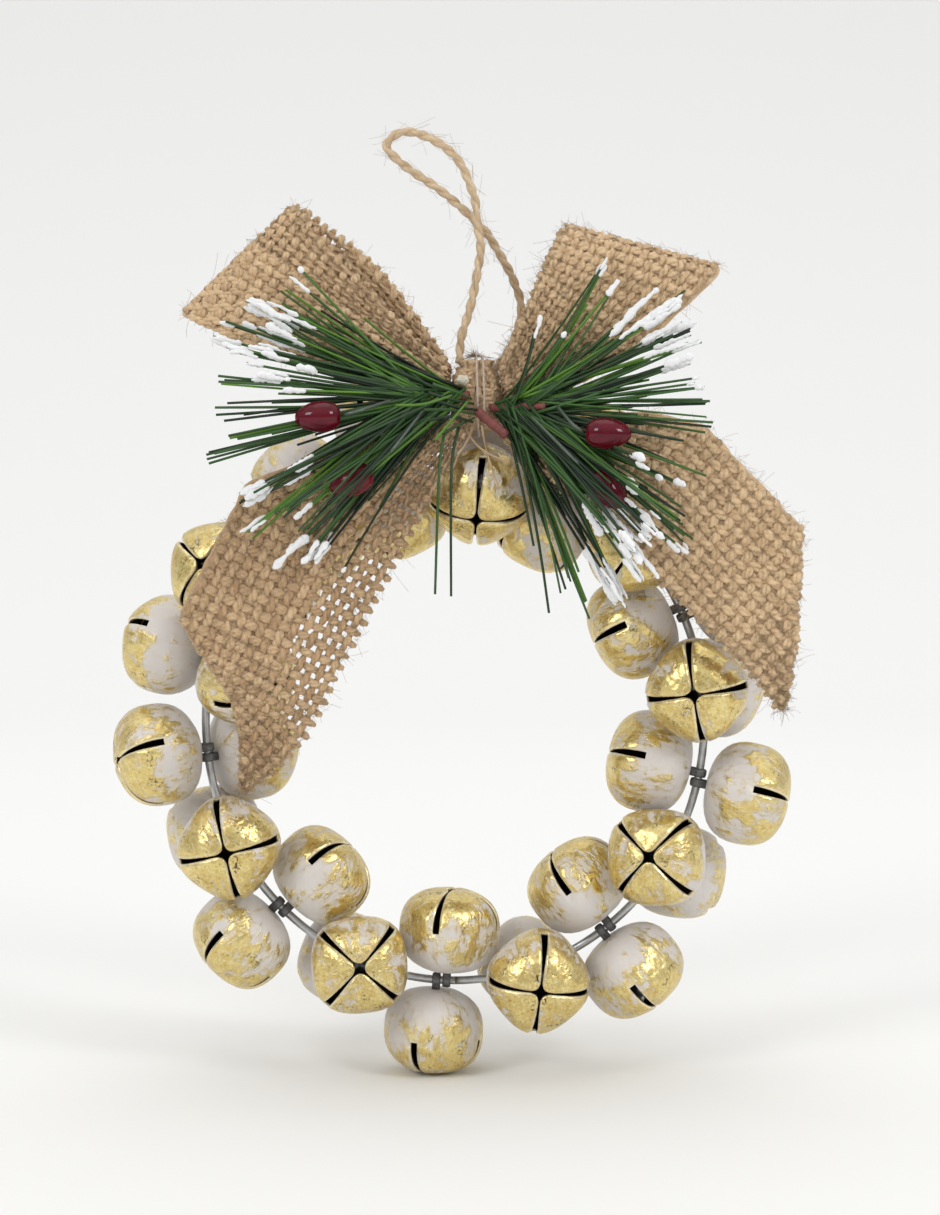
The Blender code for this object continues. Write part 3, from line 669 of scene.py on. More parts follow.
draw = random.Random(5)
bells = {}
for number, pair in enumerate(STATIONS):
    for facing, lean, turn in pair:
        name = f"bell_{number:02d}_{facing}"
        origin, axes = bell_axes(name, lean)
        cos, sin = math.cos(math.radians(turn)), math.sin(math.radians(turn))
        spun = shell_points @ np.array(((cos, sin, 0), (-sin, cos, 0), (0, 0, 1)))
        local = np.concatenate((spun, strap_points))
        faces = shell_faces + [[k + len(spun) for k in face] for face in strap.faces]
        parts = shell_parts + [3] * len(strap.faces)
        far = np.array([draw.uniform(-300, 300) for _ in range(3)])
        around = np.arctan2(local[:, 1], local[:, 0])
        brush = np.stack((np.cos(around) * 9, np.sin(around) * 9, local[:, 2]), axis=1) + far
        lift = (local[:, 2] - BELL_MIDDLE) / HALF_LENGTH
        # the rim mark carries the painted highlight along the slots' cut edges
        rim = np.concatenate((shell_rim_highlight, np.zeros(len(strap_points))))
        marks = {"leaf_place": local + far, "brush_place": brush, "front": lift, "rim": rim}
        finishes = [leaf_paint, bell_inside_shade, cut_edge, strap_metal]
        shell = piece(name + "_shell", origin + local @ axes, faces, finishes,
                      name, marks, parts)
        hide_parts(name)
        bells[name] = (origin, axes)
print("bells strung", len(bells))

# %% [markdown]
# A loose steel ball in every shell makes the sound. It has rolled to the lowest place. The frame
# carries nine of the balls on joints of their own. The others ride with their bells.

# %% The balls
BALL_RADIUS = 3.0
BALL_DROP = 6.5
BALL_RINGS = 9
BALL_SIDES = 14


def round_ball(centre, radius):
    """A ball turned from rings of points, with a slight flat where it was cut from the wire."""
    points = []
    for k in range(1, BALL_RINGS):
        polar = math.pi * k / BALL_RINGS
        for j in range(BALL_SIDES):
            turn = 2 * math.pi * j / BALL_SIDES
            points.append((math.sin(polar) * math.cos(turn), math.sin(polar) * math.sin(turn),
                           min(math.cos(polar), 0.97)))
    faces = [face[::-1] for face in tube_faces(BALL_RINGS - 1, BALL_SIDES)]
    return np.array(points) * radius + centre, faces


for name, (origin, axes) in bells.items():
    ball_name = "ball_" + name.split("_")[1]
    jointed = name.endswith("front") and ball_name in frame["nodes"]
    centre = origin + axes[2] * BELL_MIDDLE - np.array((0, 0, BALL_DROP))
    if jointed:
        low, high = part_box(ball_name)
        centre = np.array((low + high) / 2) / MM - RING_MIDDLE
    points, faces = round_ball(centre, BALL_RADIUS)
    label = ball_name if jointed else name + "_ball"
    ball = piece(label + "_steel", points, faces, [zinc], ball_name if jointed else name)
    if jointed:
        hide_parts(ball_name)
print("balls dropped in", len(bells))

# %% [markdown]
# The ring is one length of zinc-coated wire bent to an oval. It shows between the bells.

# %% The wire ring
RING_SIZE = (122.0, 128.0)
WIRE_DIAMETER = 2.0
turn = np.linspace(0, 2 * np.pi, 161)
oval = np.stack((RING_SIZE[0] / 2 * np.sin(turn), 0 * turn, -RING_SIZE[1] / 2 * np.cos(turn)), axis=1)
wire = Strands(12)
wire.add(oval, (0, 1, 0), WIRE_DIAMETER, WIRE_DIAMETER)
wire_ring = wire.piece("wire_ring_drawn", zinc, "galvanised_steel")
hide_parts("wire_ring")
print("wire ring of", len(oval) - 1, "steps")

# %% [markdown]
# The bow is burlap ribbon. Its weave is coarse enough to see every yarn, with square holes where
# the cloth is single, so the yarns are really woven here, over and under, instead of being drawn
# on a sheet. Each ribbon is a surface with a place along it and a place across it. A warp yarn runs
# along at a fixed place across, and a weft yarn runs across at a fixed place along.

# %% Burlap finish and the ribbon's measures
burlap = fibre_finish("burlap_yarn", "875E34", "CEA576", "F2D6AC", 0.85)
RIBBON_WIDTH = 38.0
WARP_PITCH = 2.4
WEFT_PITCH = 2.95
YARN_THICK = 1.2
YARN_WAVE = 0.5
YARN_SWELL = 0.12
YARN_LAY = 4.4
PLY_PLACES = {2: (0.2, 0.64), 3: (0.23, 0.54)}
PLEATS = 2
PLEAT_DEPTH = 1.6
OPEN_STRIP = 13.0
FOLD_ALL = 86.0
TAIL_STEP = 0.5
print("warp yarns in a ribbon", round(RIBBON_WIDTH / WARP_PITCH))


# %% Surfaces of loops and tails
def pleat(from_knot, share):
    """The wave of the cloth where the knot gathers it."""
    gather = np.maximum(0, 1 - 1.6 * from_knot) * np.minimum(1, 8 * from_knot)
    return PLEAT_DEPTH * gather * np.cos(2 * np.pi * PLEATS * share)


class Cloth:
    """A strip with straight ends, measured along and across."""

    def along_end(self, across):
        return self.length + 0 * across

    def across_end(self, along):
        return self.width + 0 * along


class Loop(Cloth):
    """A loop of ribbon that leaves the knot, turns at its end and comes back behind."""

    shade = 0.35

    def __init__(self, edge, other_edge):
        self.edges = edge, other_edge
        shares = np.linspace(0, 1, 400)
        middle = (curve_at(edge, shares) + curve_at(other_edge, shares)) / 2
        self.walked, self.shares = walk(middle), shares
        self.length, self.width = self.walked[-1], RIBBON_WIDTH

    def squeeze(self, along):
        share = np.interp(along, self.walked, self.shares)
        gap = curve_at(self.edges[0], share) - curve_at(self.edges[1], share)
        return np.clip(np.linalg.norm(gap, axis=-1) / self.width, 0.45, 1)

    def at(self, along, across):
        share = np.interp(along, self.walked, self.shares)
        part = (across / self.width)[..., None]
        point = curve_at(self.edges[0], share) * (1 - part) + curve_at(self.edges[1], share) * part
        point[..., 1] -= pleat(np.minimum(share, 1 - share) * 2, across / self.width)
        return point


class Tail(Cloth):
    """A tail of ribbon, given by its inner edge. It fans out of the knot and is cut aslant."""

    def __init__(self, edge, side, width, cut, shade):
        self.line = even_curve(edge, TAIL_STEP)
        self.length = TAIL_STEP * (len(self.line) - 1)
        self.side, self.width, self.cut, self.shade = side, width, cut, shade

    def along_end(self, across):
        return self.length - (self.length - self.cut) * across / self.width

    def across_end(self, along):
        past = (along - self.cut) / (self.length - self.cut)
        return self.width * np.clip(1 - past, 0.05, 1)

    def squeeze(self, along):
        return np.clip(0.12 + 0.0235 * along, 0, 1)

    def on_line(self, along):
        marks = TAIL_STEP * np.arange(len(self.line))
        return np.stack([np.interp(along, marks, self.line[:, k]) for k in range(3)], axis=-1)

    def at(self, along, across):
        run = unit(self.on_line(along + 2.5) - self.on_line(along - 2.5))
        over = unit(np.cross(run, (0, 1, 0))) * self.side
        point = self.on_line(along) + over * (across * self.squeeze(along))[..., None]
        share = across / self.width
        point[..., 1] -= pleat(along / self.length, share) + 1.2 * share + 0.5 * np.sin(along / 9 + 4 * share)
        return point


def cloth_normal(cloth, along, across):
    """The side of the cloth that faces away from the loop's inside, or to the front on a tail."""
    down = cloth.at(along + 0.4, across) - cloth.at(along - 0.4, across)
    over = cloth.at(along, across + 0.4) - cloth.at(along, across - 0.4)
    normal = unit(np.cross(down, over))
    quarter, middle = np.array([cloth.length / 4]), np.array([cloth.width / 2])
    first = cloth.at(quarter, middle)
    down = cloth.at(quarter + 0.4, middle) - first
    over = cloth.at(quarter, middle + 0.4) - first
    return normal if np.cross(down, over)[0, 1] < 0 else -normal


print("loops and tails have surfaces")


# %% Weave the yarns
def wander(draw, places, size):
    """A slow wander of a yarn from its true line."""
    return size * (np.sin(places * draw.uniform(0.12, 0.3) + draw.uniform(0, 7))
                   + 0.6 * np.sin(places * draw.uniform(0.4, 0.8) + draw.uniform(0, 7)))


def yarn_share(across, open_strip):
    """How much of its pitch a yarn fills: less in the single strip, where holes show."""
    return np.where(across < open_strip, 0.7, 0.84)


def add_yarn(strands, cloth, along, across, over, lift, wide, thick, draw, plies):
    """A twisted yarn that swells where it lies on top, and is pinched where it dives and at its ends."""
    normal = cloth_normal(cloth, along, across)
    swell = 1 + YARN_SWELL * over / YARN_WAVE
    ends = np.minimum(1, 0.5 + 0.25 * np.minimum(np.arange(len(over)), np.arange(len(over))[::-1]))
    wide = wide * swell * ends * (1 + wander(draw, (along + across) * 3, 0.06))
    thick = thick * swell * ends
    path = cloth.at(along, across) + normal * (over + lift)[:, None]
    # a cloth's shade lifts or lowers the tone of all its yarns; on the tails it is painted shade and painted
    # light
    shade = draw.random() + cloth.shade
    if plies == 1:
        strands.add(path, normal, wide, thick, shade, FIBRE_TWIST)
        return
    side = unit(np.cross(unit(np.gradient(path, axis=0)), normal))
    walked = walk(path)
    start = draw.uniform(0, 2 * np.pi)
    off, size = PLY_PLACES[plies]
    for ply in range(plies):
        turn = start + 2 * np.pi * (walked / YARN_LAY + ply / plies)
        offset = side * (np.cos(turn) * wide)[:, None] + normal * (np.sin(turn) * thick)[:, None]
        strands.add(path + off * offset, normal, size * wide, (size + 0.03) * thick,
                    shade + draw.uniform(-0.2, 0.2), FIBRE_TWIST)


def layer_lift(cloth, along, lift):
    """A layer in front on a loop passes to the loop's inside at its end, clear of the bells behind."""
    return lift * np.tanh((cloth.length / 2 - along) / 8) if lift > 0 else lift


def weave(name, cloth, seed, start=0.0, lift=0.0, open_strip=0.0, plies=(2, 3), fine=5, tooth=1.2,
          shift=0.0):
    """Warp and weft of one layer of cloth, from a place across it to its far edge."""
    draw = random.Random(seed)
    warp, weft = Strands(6), Strands(8 - plies[1])
    for i in range(round(cloth.width / WARP_PITCH)):
        centre = (i + 0.5 + shift) * WARP_PITCH
        end = float(cloth.along_end(np.array(centre))) + draw.uniform(0.0, 0.7)
        along = np.arange(0.6 if centre >= start else FOLD_ALL, end, WEFT_PITCH / fine)
        if len(along) < 4:
            continue
        across = np.clip(centre + wander(draw, along, 0.13), 0.2, cloth.width)
        over = YARN_WAVE * np.cos(np.pi * (along / WEFT_PITCH - i - shift))
        wide = WARP_PITCH * yarn_share(across, open_strip) * cloth.squeeze(along)
        layer = layer_lift(cloth, along, lift)
        add_yarn(warp, cloth, along, across, over, layer, wide, YARN_THICK, draw, plies[0])
    for j in range(1, int(cloth.length / WEFT_PITCH)):
        centre = (j + shift) * WEFT_PITCH
        end = float(cloth.across_end(np.array(centre))) + draw.uniform(0.0, 0.6)
        edge = start if centre < FOLD_ALL else 0.0
        across = np.arange(edge - draw.uniform(0.8, 1.3) * tooth, end, WARP_PITCH / fine)
        if len(across) < 4:
            continue
        along = centre + wander(draw, across, 0.12)
        over = -YARN_WAVE * np.cos(np.pi * (across / WARP_PITCH - 0.5 - j - shift))
        wide = WEFT_PITCH * yarn_share(across, open_strip) * 0.95
        thick = YARN_THICK * np.clip(cloth.squeeze(along) * 1.5, 0.4, 1)
        layer = layer_lift(cloth, along, lift)
        add_yarn(weft, cloth, along, across, over, layer, wide, thick, draw, plies[1])
    return warp.piece(name + "_warp", burlap, "burlap"), weft.piece(name + "_weft", burlap, "burlap")


def fuzz(name, cloth, seed, count, line=None, low=0.0):
    """Loose fibres that stand off the cloth, thickest along its edges or along a frayed line."""
    draw = random.Random(seed)
    hairs = Strands(3)
    for k in range(count):
        along = np.array([draw.uniform(4, cloth.length)])
        limit = float(cloth.across_end(along)[0])
        place = draw.choice((0.0, limit)) if k % 5 == 0 else draw.uniform(0, limit)
        if line is not None and k % 6 == 1:
            place = line + draw.gauss(0, 0.7)
        across = np.array([min(max(place, low), limit)])
        root = cloth.at(along, across)[0]
        normal = cloth_normal(cloth, along, across)[0]
        run = unit(cloth.at(along + 1, across) - cloth.at(along - 1, across))[0]
        over = np.cross(run, normal)
        way = run * draw.uniform(-1, 1) + over * draw.uniform(-1, 1) + normal * draw.uniform(0, 0.25)
        length = draw.uniform(1.0, 3.2) if k % 9 else draw.uniform(3.0, 6.5)
        hair = fibre_path(root + normal * draw.uniform(0.5, 1.0), unit(way), length, draw)
        hairs.add(hair, normal, 0.08, 0.08, draw.random())
    return hairs.piece(name + "_fibres", loose_fibre, "burlap")


print("the loom is set up")

# %% [markdown]
# Two loops stand up from the knot and two tails hang down. The ribbon is folded along its length,
# so most of it is double and only a strip along one edge is single and open. On the left loop the
# fold's frayed edge lies in front.

# %% The bow's loops
LOOP_EDGES = {
    "bow_loop_left": (
        ((-0.6, -15, 84), (-17, -20, 101), (-33, -19, 118), (-38.5, -14, 123.5), (-33, -8, 121),
         (-17, -6, 108), (-0.6, -10.5, 86)),
        ((-1.6, -15, 76), (-25, -20, 84), (-49, -20, 92), (-64, -14, 99), (-50, -8, 94),
         (-25, -6, 86), (-1.6, -10.5, 78))),
    "bow_loop_right": (
        ((10.6, -15, 84), (18, -20, 102), (24.5, -19, 115), (27, -14, 119), (25, -8, 117),
         (19, -6, 104), (10.6, -10.5, 86)),
        ((11.6, -15, 76), (36, -20, 86), (57, -20, 104), (62, -14, 110), (57, -8, 105),
         (36, -6, 89), (11.6, -10.5, 78)))}
LAYER_GAP = 1.1
RIBBON_HAIRS = 2200


def flat_area(cloth):
    """The area of the ribbon laid flat, in square metres."""
    along = np.linspace(0, cloth.length, 200)
    return float(np.mean(cloth.across_end(along)) * cloth.length) * MM * MM


def ribbon_piece(node, cloth, seed, strip, lift, line=None):
    """One ribbon: its cloth, the folded second layer and the loose fibres."""
    warp, weft = weave(node, cloth, seed, open_strip=strip)
    plies, fine = ((2, 3), 5) if lift > 0 else ((1, 1), 3)
    second = weave(node + "_fold", cloth, seed + 1, strip, lift, plies=plies, fine=fine, tooth=0.4, shift=0.5)
    hairs = fuzz(node, cloth, seed + 2, RIBBON_HAIRS, line)
    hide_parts(node)
    held = "folded" if isinstance(cloth, Loop) else "hung"
    flat_area(cloth)
    faces = sum(len(made.data.polygons) for made in (warp, weft, *second, hairs))
    print(node, "length, mm", round(cloth.length, 1), "faces", faces)


ribbon_piece("bow_loop_left", Loop(*LOOP_EDGES["bow_loop_left"]), 21, OPEN_STRIP, LAYER_GAP, OPEN_STRIP)
ribbon_piece("bow_loop_right", Loop(*LOOP_EDGES["bow_loop_right"]), 31, 0.0, -LAYER_GAP)

# %% The bow's tails
TAIL_EDGES = {
    "ribbon_tail_left": (
        (3.6, -17.8, 72.5), (-3, -22, 60), (-12, -25.5, 44.5), (-24, -26, 22), (-36, -26.5, -1),
        (-50.5, -27, -15.0)),
    "ribbon_tail_right": (
        (8.2, -17.6, 72.5), (22, -22, 60), (35, -26, 50), (55, -27, 29.5), (68, -27, 16.5), (77.5, -26.5, 5))}

# the left tail's yarns are toned down as painted shade, and the right tail's are toned up as painted light
left_tail = Tail(TAIL_EDGES["ribbon_tail_left"], -1, RIBBON_WIDTH, 71.0, -0.15)
right_tail = Tail(TAIL_EDGES["ribbon_tail_right"], 1, 32.0, 70.0, 0.55)
ribbon_piece("ribbon_tail_left", left_tail, 41, OPEN_STRIP, -LAYER_GAP)
ribbon_piece("ribbon_tail_right", right_tail, 51, 0.0, -LAYER_GAP)

# %% [markdown]
# The knot is the same ribbon, drawn in until its yarns run side by side from foot to top. It is made of
# strands over a core, in folds, with a ruffle on top that hides the twine's ends, and loose ends. The
# core's yarns are toned dark, as painted shade in the gaps between the strands.

# %% The knot
KNOT_CENTRE = np.array((5.0, -12.5, 79.0))
KNOT_HALF = np.array((6.25, 6.2, 9.0))
KNOT_FOLDS = 5
KNOT_DRAW = 0.16
KNOT_STRANDS = 80
KNOT_FLOATS = 170
KNOT_HAIRS = 600
CORE_RINGS, CORE_SIDES = 9, 24
KNOT_HAIR_FOOT = 9.0
KNOT_ENDS = ((1.5, -18, 73, 9), (3, -18.4, 72.5, 13), (4.2, -18.6, 72, 8), (6.4, -18.4, 72.5, 11),
             (2.2, -18.2, 73, 14))


class Knot(Cloth):
    """The knot's skin: along runs round it, across runs from its foot to its top."""

    length, width = 39.0, 24.0

    def __init__(self, size):
        self.size = size

    def at(self, along, across):
        turn = 2 * np.pi * along / self.length
        level = (across / self.width - 0.5) * 0.92 * np.pi
        ring = np.cos(level)
        drawn = ring * (1 - KNOT_DRAW * ring * (1 - np.cos(KNOT_FOLDS * turn)) * 0.5)
        skin = np.stack((drawn * np.sin(turn), drawn * np.cos(turn), np.sin(level)), axis=-1)
        return KNOT_CENTRE + skin * KNOT_HALF * self.size


def gathered(name, knot, draw):
    """Strands side by side from the knot's foot to the ruffle on its top, and a few loose ends."""
    strands = Strands(5)
    across = np.linspace(3.0, knot.width - 4.0, 22)
    rise = np.array((0.5, 1.0, 1.6))[:, None]
    for k in range(KNOT_STRANDS):
        along = knot.length * k / KNOT_STRANDS + wander(draw, across, 0.8)
        path = knot.at(along, across)
        out = unit((path[-1] - KNOT_CENTRE) * (1, 1, 0))
        ruffle = path[-1] + rise * ((0, 0, 1) + out * 0.35 * draw.uniform(0.2, 1.6))
        path = np.concatenate((path, ruffle))
        wide = draw.uniform(0.7, 1.3) * (1 + wander(draw, np.arange(len(path)), 0.15))
        strands.add(path, path - KNOT_CENTRE, wide, 0.7 * wide, draw.random() + 0.3, FIBRE_TWIST)
    for k in range(KNOT_FLOATS):
        reach = np.linspace(-1, 1, 7)
        along = draw.uniform(0, knot.length) + reach * draw.uniform(0.8, 1.6)
        path = knot.at(along, draw.uniform(4.0, knot.width - 5.0) + reach * draw.uniform(-0.5, 0.5))
        path = path + unit(path - KNOT_CENTRE) * (0.6 - 0.7 * reach ** 2)[:, None]
        strands.add(path, path - KNOT_CENTRE, 1.1 - 0.4 * reach ** 2, 0.7, draw.random() + 0.3, FIBRE_TWIST)
    for x, y, z, length in KNOT_ENDS:
        way = unit(np.array((draw.uniform(-0.3, 0.3), -0.25, -1)))
        end = fibre_path(np.array((x, y, z)), way, length, draw, 0.6)
        strands.add(even_curve(end, 0.8), (0, 1, 0), 0.6, 0.5, draw.random(), FIBRE_TWIST)
    return strands.piece(name + "_strands", burlap, "burlap")


gathered("bow_knot", Knot(0.97), random.Random(61))
core = Knot(0.9)
rows = np.linspace(0, core.width, CORE_RINGS)
columns = np.linspace(0, core.length, CORE_SIDES + 1)[:-1]
rows, columns = np.meshgrid(rows, columns, indexing="ij")
core_points = core.at(columns.ravel(), rows.ravel())
# painted shade: the core's yarn tone is set dark, for the gaps between the strands
core_marks = {"shade": np.full(len(core_points), -0.6), "lay": core_points}
knot_core = piece("bow_knot_cloth", core_points, tube_faces(CORE_RINGS, CORE_SIDES), [burlap],
                  marks=core_marks)
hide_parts("bow_knot")
fuzz("bow_knot", Knot(1.02), 63, KNOT_HAIRS, low=KNOT_HAIR_FOOT)
print("knot has", KNOT_STRANDS, "strands")

# %% [markdown]
# A pale thread is wound over the knot and round the wire, and holds the bow and the sprigs. A dab
# of hot glue sits where it starts. The thread's route is worked out here, after the part file's winding.

# %% The thread and the glue
THREAD_DIAMETER = 0.6
thread_finish = fibre_finish("pale_thread", "C2A68E", "E2CDBA", "F6E9DC", 0.55)
gap = 0.9
half = KNOT_HALF + gap
wire_top = np.array((-8.5, 0, RING_SIZE[1] / 2))
wrap = WIRE_DIAMETER / 2 + 2 * gap
over_knot = [KNOT_CENTRE + (0, half[1] * math.cos(a), half[2] * math.sin(a))
             for a in np.radians(range(20, 249, 19))]
round_wire = [wire_top + wrap * np.array((0, math.cos(a), math.sin(a)))
              for a in np.radians(range(195, 396, 40))]
down = wire_top + (wrap, -half[1], half[2] / 2)
back = wire_top + (2 * wrap, -half[1] / 2, half[2])
leaving = over_knot[-1] * 0.7 + down * 0.3
coming = over_knot[0] * 0.7 + back * 0.3
winding = [*over_knot[2:], leaving, down, *round_wire, back, coming]
thread_route = [point + np.array((1.4 * k / len(winding), 0, 0))
                for k, point in enumerate([*winding, *over_knot[:-1]])]
thread = Strands(8)
thread_line = even_curve(thread_route, 0.4)
thread.add(thread_line, (1, 0, 0), THREAD_DIAMETER, THREAD_DIAMETER * 0.85, 0.3, 4.0)
tie = thread.piece("tie_thread_wound", thread_finish, "pale_thread")
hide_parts("tie_thread")

glue = Finish("hot_glue", {"IOR": 1.48, "Subsurface Weight": 0.25, "Coat Weight": 0.3})
glue.vary(glue.noise(glue.place(), 700.0), "CDB694", "EDE0CB", 0.22, (0.4, 0.4))
low, high = (np.array(corner) / MM - RING_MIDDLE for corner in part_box("glue_dab"))
dab_points, dab_faces = round_ball(np.zeros(3), 1.0)
swell = 0.85 + 0.15 * np.sin(dab_points @ (4.1, 3.3, 5.2))
dab = piece("glue_dab_set", (low + high) / 2 + dab_points * swell[:, None] * (high - low) / 2, dab_faces,
            [glue])
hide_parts("glue_dab")
print("thread is", round(0.4 * len(thread_line)), "mm long")

# %% [markdown]
# Each sprig is a taped wire stem with a fan of flat plastic needles. Needles stand in tufts whose
# tips lie close together. Many tips were dipped in flock, which dries to lumpy white snow. A tuft
# is listed by its tip, its number of needles and the length of snow on them.

# %% Needle, snow and tape finishes
needle_finish = Finish("green_plastic_needles", {"IOR": 1.5, "Specular IOR Level": 0.35})
shade = needle_finish.mark("shade")
needle_lay = needle_finish.stretch(needle_finish.mark("lay", "Vector"), (1.0, 1.0, 0.05))
ribbed = needle_finish.noise(needle_lay, 2.5)
green = needle_finish.mix(shade.step(0.0, 0.8), "1B2A1C", "416832")
green = needle_finish.mix(shade.step(0.82, 1.05), green, "64942F")
needle_finish.set({"Base Color": needle_finish.mix(ribbed * 0.5, green, "0E1A12"),
                   "Roughness": 0.34 + ribbed * 0.2, "Normal": needle_finish.bump(ribbed, 0.4, 0.15)})

snow = Finish("flocked_snow", {"Specular IOR Level": 0.25})
snow.vary(snow.noise(snow.place(), 1500.0, 4.0), "DCDDDE", "F8F8F8", 0.75, (0.35, 0.3))

tape = Finish("brown_stem_tape", {"IOR": 1.45})
lapped = tape.noise(tape.stretch(tape.mark("lay", "Vector"), (0.6, 0.6, 1.4)), 1.2)
tape.vary(lapped, "4E2624", "8E4C46", 0.45, (0.5, 0.2))
print("sprig finishes mixed")

# %% The needles
TUFTS = {
    "pine_sprig_left": (
        (-36, -27, 109, 1, 2.5), (-38, -28, 107, 1, 6), (-40, -28, 102, 5, 0), (-47.5, -31, 101, 4, 17),
        (-43, -32, 101, 2, 13), (-45, -33, 96, 4, 12), (-51, -34, 95.5, 3, 4), (-53.5, -37, 91, 6, 8),
        (-44, -36, 90, 4, 10), (-46, -38, 84, 4, 8), (-36, -37, 86, 2, 6), (-39, -39, 80.5, 2, 9),
        (-53, -41, 82, 4, 0), (-53, -43, 76, 4, 0), (-50, -43, 69, 4, 0), (-54.5, -40, 65, 5, 0),
        (-39, -42, 60.5, 4, 9), (-36, -42, 62, 2, 7), (-48, -37, 56, 7, 10), (-47, -35, 47, 4, 7),
        (-36.5, -38, 51, 2, 6), (-42, -33, 39.5, 2, 15), (-33.5, -33, 41.5, 7, 8), (-26, -33, 38.5, 1, 2.5),
        (-42, -51, 59, 4, 0), (-38, -52, 53, 4, 0), (-33, -52, 49, 4, 0)),
    "pine_sprig_right": (
        (20, -27, 98, 1, 8), (26, -27, 94, 1, 1.5), (36, -27, 110.5, 3, 5), (38, -28, 106, 2, 5),
        (47, -30, 104, 2, 17), (51.5, -31, 101.5, 5, 15), (54, -33, 96.5, 5, 13), (50, -38, 93, 2, 0),
        (56.5, -35, 92, 4, 11), (55, -37, 87, 5, 8), (57, -40, 82, 4, 3), (57, -42, 78, 5, 0),
        (58, -43, 72.5, 4, 0), (52, -44, 69, 2, 0), (57.5, -40, 61, 1, 0), (43, -43, 62, 4, 6),
        (47.5, -40, 60, 2, 4), (53, -38, 58.5, 2, 4), (41, -42, 58.7, 3, 6), (53, -36, 52, 5, 0),
        (52, -36, 48, 4, 0), (43.5, -40, 55, 3, 5), (46.5, -39, 49, 5, 6), (52, -35, 44.5, 3, 4),
        (36.5, -40, 49, 3, 14), (43.5, -38, 45.5, 4, 14), (38.5, -38, 45, 3, 12), (44, -34, 37, 4, 12),
        (38.5, -33, 32, 6, 15), (31.5, -32, 29.5, 3, 0), (26, -33, 36, 4, 0), (22, -32, 29, 1, 0),
        (49, -52, 51, 4, 0), (45, -53, 47, 5, 5), (40, -53, 44, 5, 8))}
# each needle's start, middle, end and shade: two that hang, and cut ones that cross at the left root
LOOSE_NEEDLES = (((-2, -25, 72), (-3.4, -33, 62), (-4.4, -34, 33.5), 0.6),
                 ((1, -25, 72), (-0.6, -33, 62), (-0.7, -34, 33), 0.3),
                 ((-13.5, -33, 77), (-7, -34, 77.3), (-0.5, -31, 79.3), 1.0),
                 ((-4.4, -34, 69), (-1, -33, 73), (3.2, -30, 78), 1.0),
                 ((-6, -29, 80), (-1, -28, 78.5), (4.6, -24, 77.4), 0.3),
                 ((-7, -30, 76), (-1, -29, 76), (5, -24.5, 75), 0.5),
                 ((-6, -30, 73.5), (-1, -29, 74.5), (4.4, -25, 73.2), 0.2),
                 ((-5, -28, 82), (0, -27, 80.4), (4, -23.5, 78.6), 0.6),
                 ((-3, -28, 70.5), (1, -27, 72.5), (4.8, -24, 74.2), 0.4),
                 ((-4, -29, 78), (1, -27.5, 76.6), (5.4, -24, 76), 0.15))
STEMS = {"pine_sprig_left": ((3.2, -19.7, 79.5), (-20, -31, 78)),
         "pine_sprig_right": ((8.8, -18.5, 76.5), (29, -31, 77))}
NEEDLE_SIZE = (0.9, 0.45)
SNOW_STEP = 0.4
SNOW_WIDE = (0.9, 2.0)
FILLERS = 0.7


def needle_path(stem, tip, draw):
    """A needle that leaves its stem along it and then fans out to its tip."""
    root_end, stem_end = (np.array(end) for end in stem)
    sideways = abs(tip[0] - root_end[0]) / 60
    root = root_end + (stem_end - root_end) * draw.uniform(0.02, 0.2 + 0.45 * sideways)
    root = root + np.array((0, draw.uniform(-1.8, 1.2), draw.uniform(-1.7, 1.7)))
    bend = root * 0.62 + tip * 0.38 + unit(stem_end - root_end) * draw.uniform(0, 3)
    share = np.linspace(0, 1, 8)[:, None]
    return (1 - share) ** 2 * root + 2 * share * (1 - share) * bend + share ** 2 * tip


def snow_on(flock, path, length, draw):
    """A ragged crust of flock along the last part of a needle, wide in some places, bare in others."""
    line = even_curve(path, SNOW_STEP)
    line = line[-max(5, round(length / SNOW_STEP)):]
    walked = SNOW_STEP * np.arange(len(line))
    lumps = sum(np.sin(walked * draw.uniform(*rate) + draw.uniform(0, 7)) * size
                for rate, size in (((0.3, 0.7), 0.3), ((0.9, 1.6), 0.2), ((2.8, 4.5), 0.12)))
    ends = np.minimum(1, (np.minimum(walked, walked[::-1]) + 0.25) / 1.1) ** 0.6
    wide = np.clip(draw.uniform(*SNOW_WIDE) * (0.8 + lumps), 0.7, 3.0) * ends
    aside = np.cross(unit(np.gradient(line, axis=0)), (0, 1, 0)) * (lumps[::-1] * 0.45)[:, None]
    front = np.array((0, -0.3, 0))
    thick = np.minimum(wide, 0.9) * draw.uniform(0.5, 0.8)
    flock.add(line + aside + front, (0, 1, 0.2), wide, thick, draw.random())


def add_needle(needles, path, shade, draw):
    taper = np.linspace(1, 0.7, len(path))
    up = unit(np.array((draw.gauss(0, 0.5), -1, draw.gauss(0, 0.5))))
    needles.add(path, up, NEEDLE_SIZE[0] * taper, NEEDLE_SIZE[1] * taper, shade)


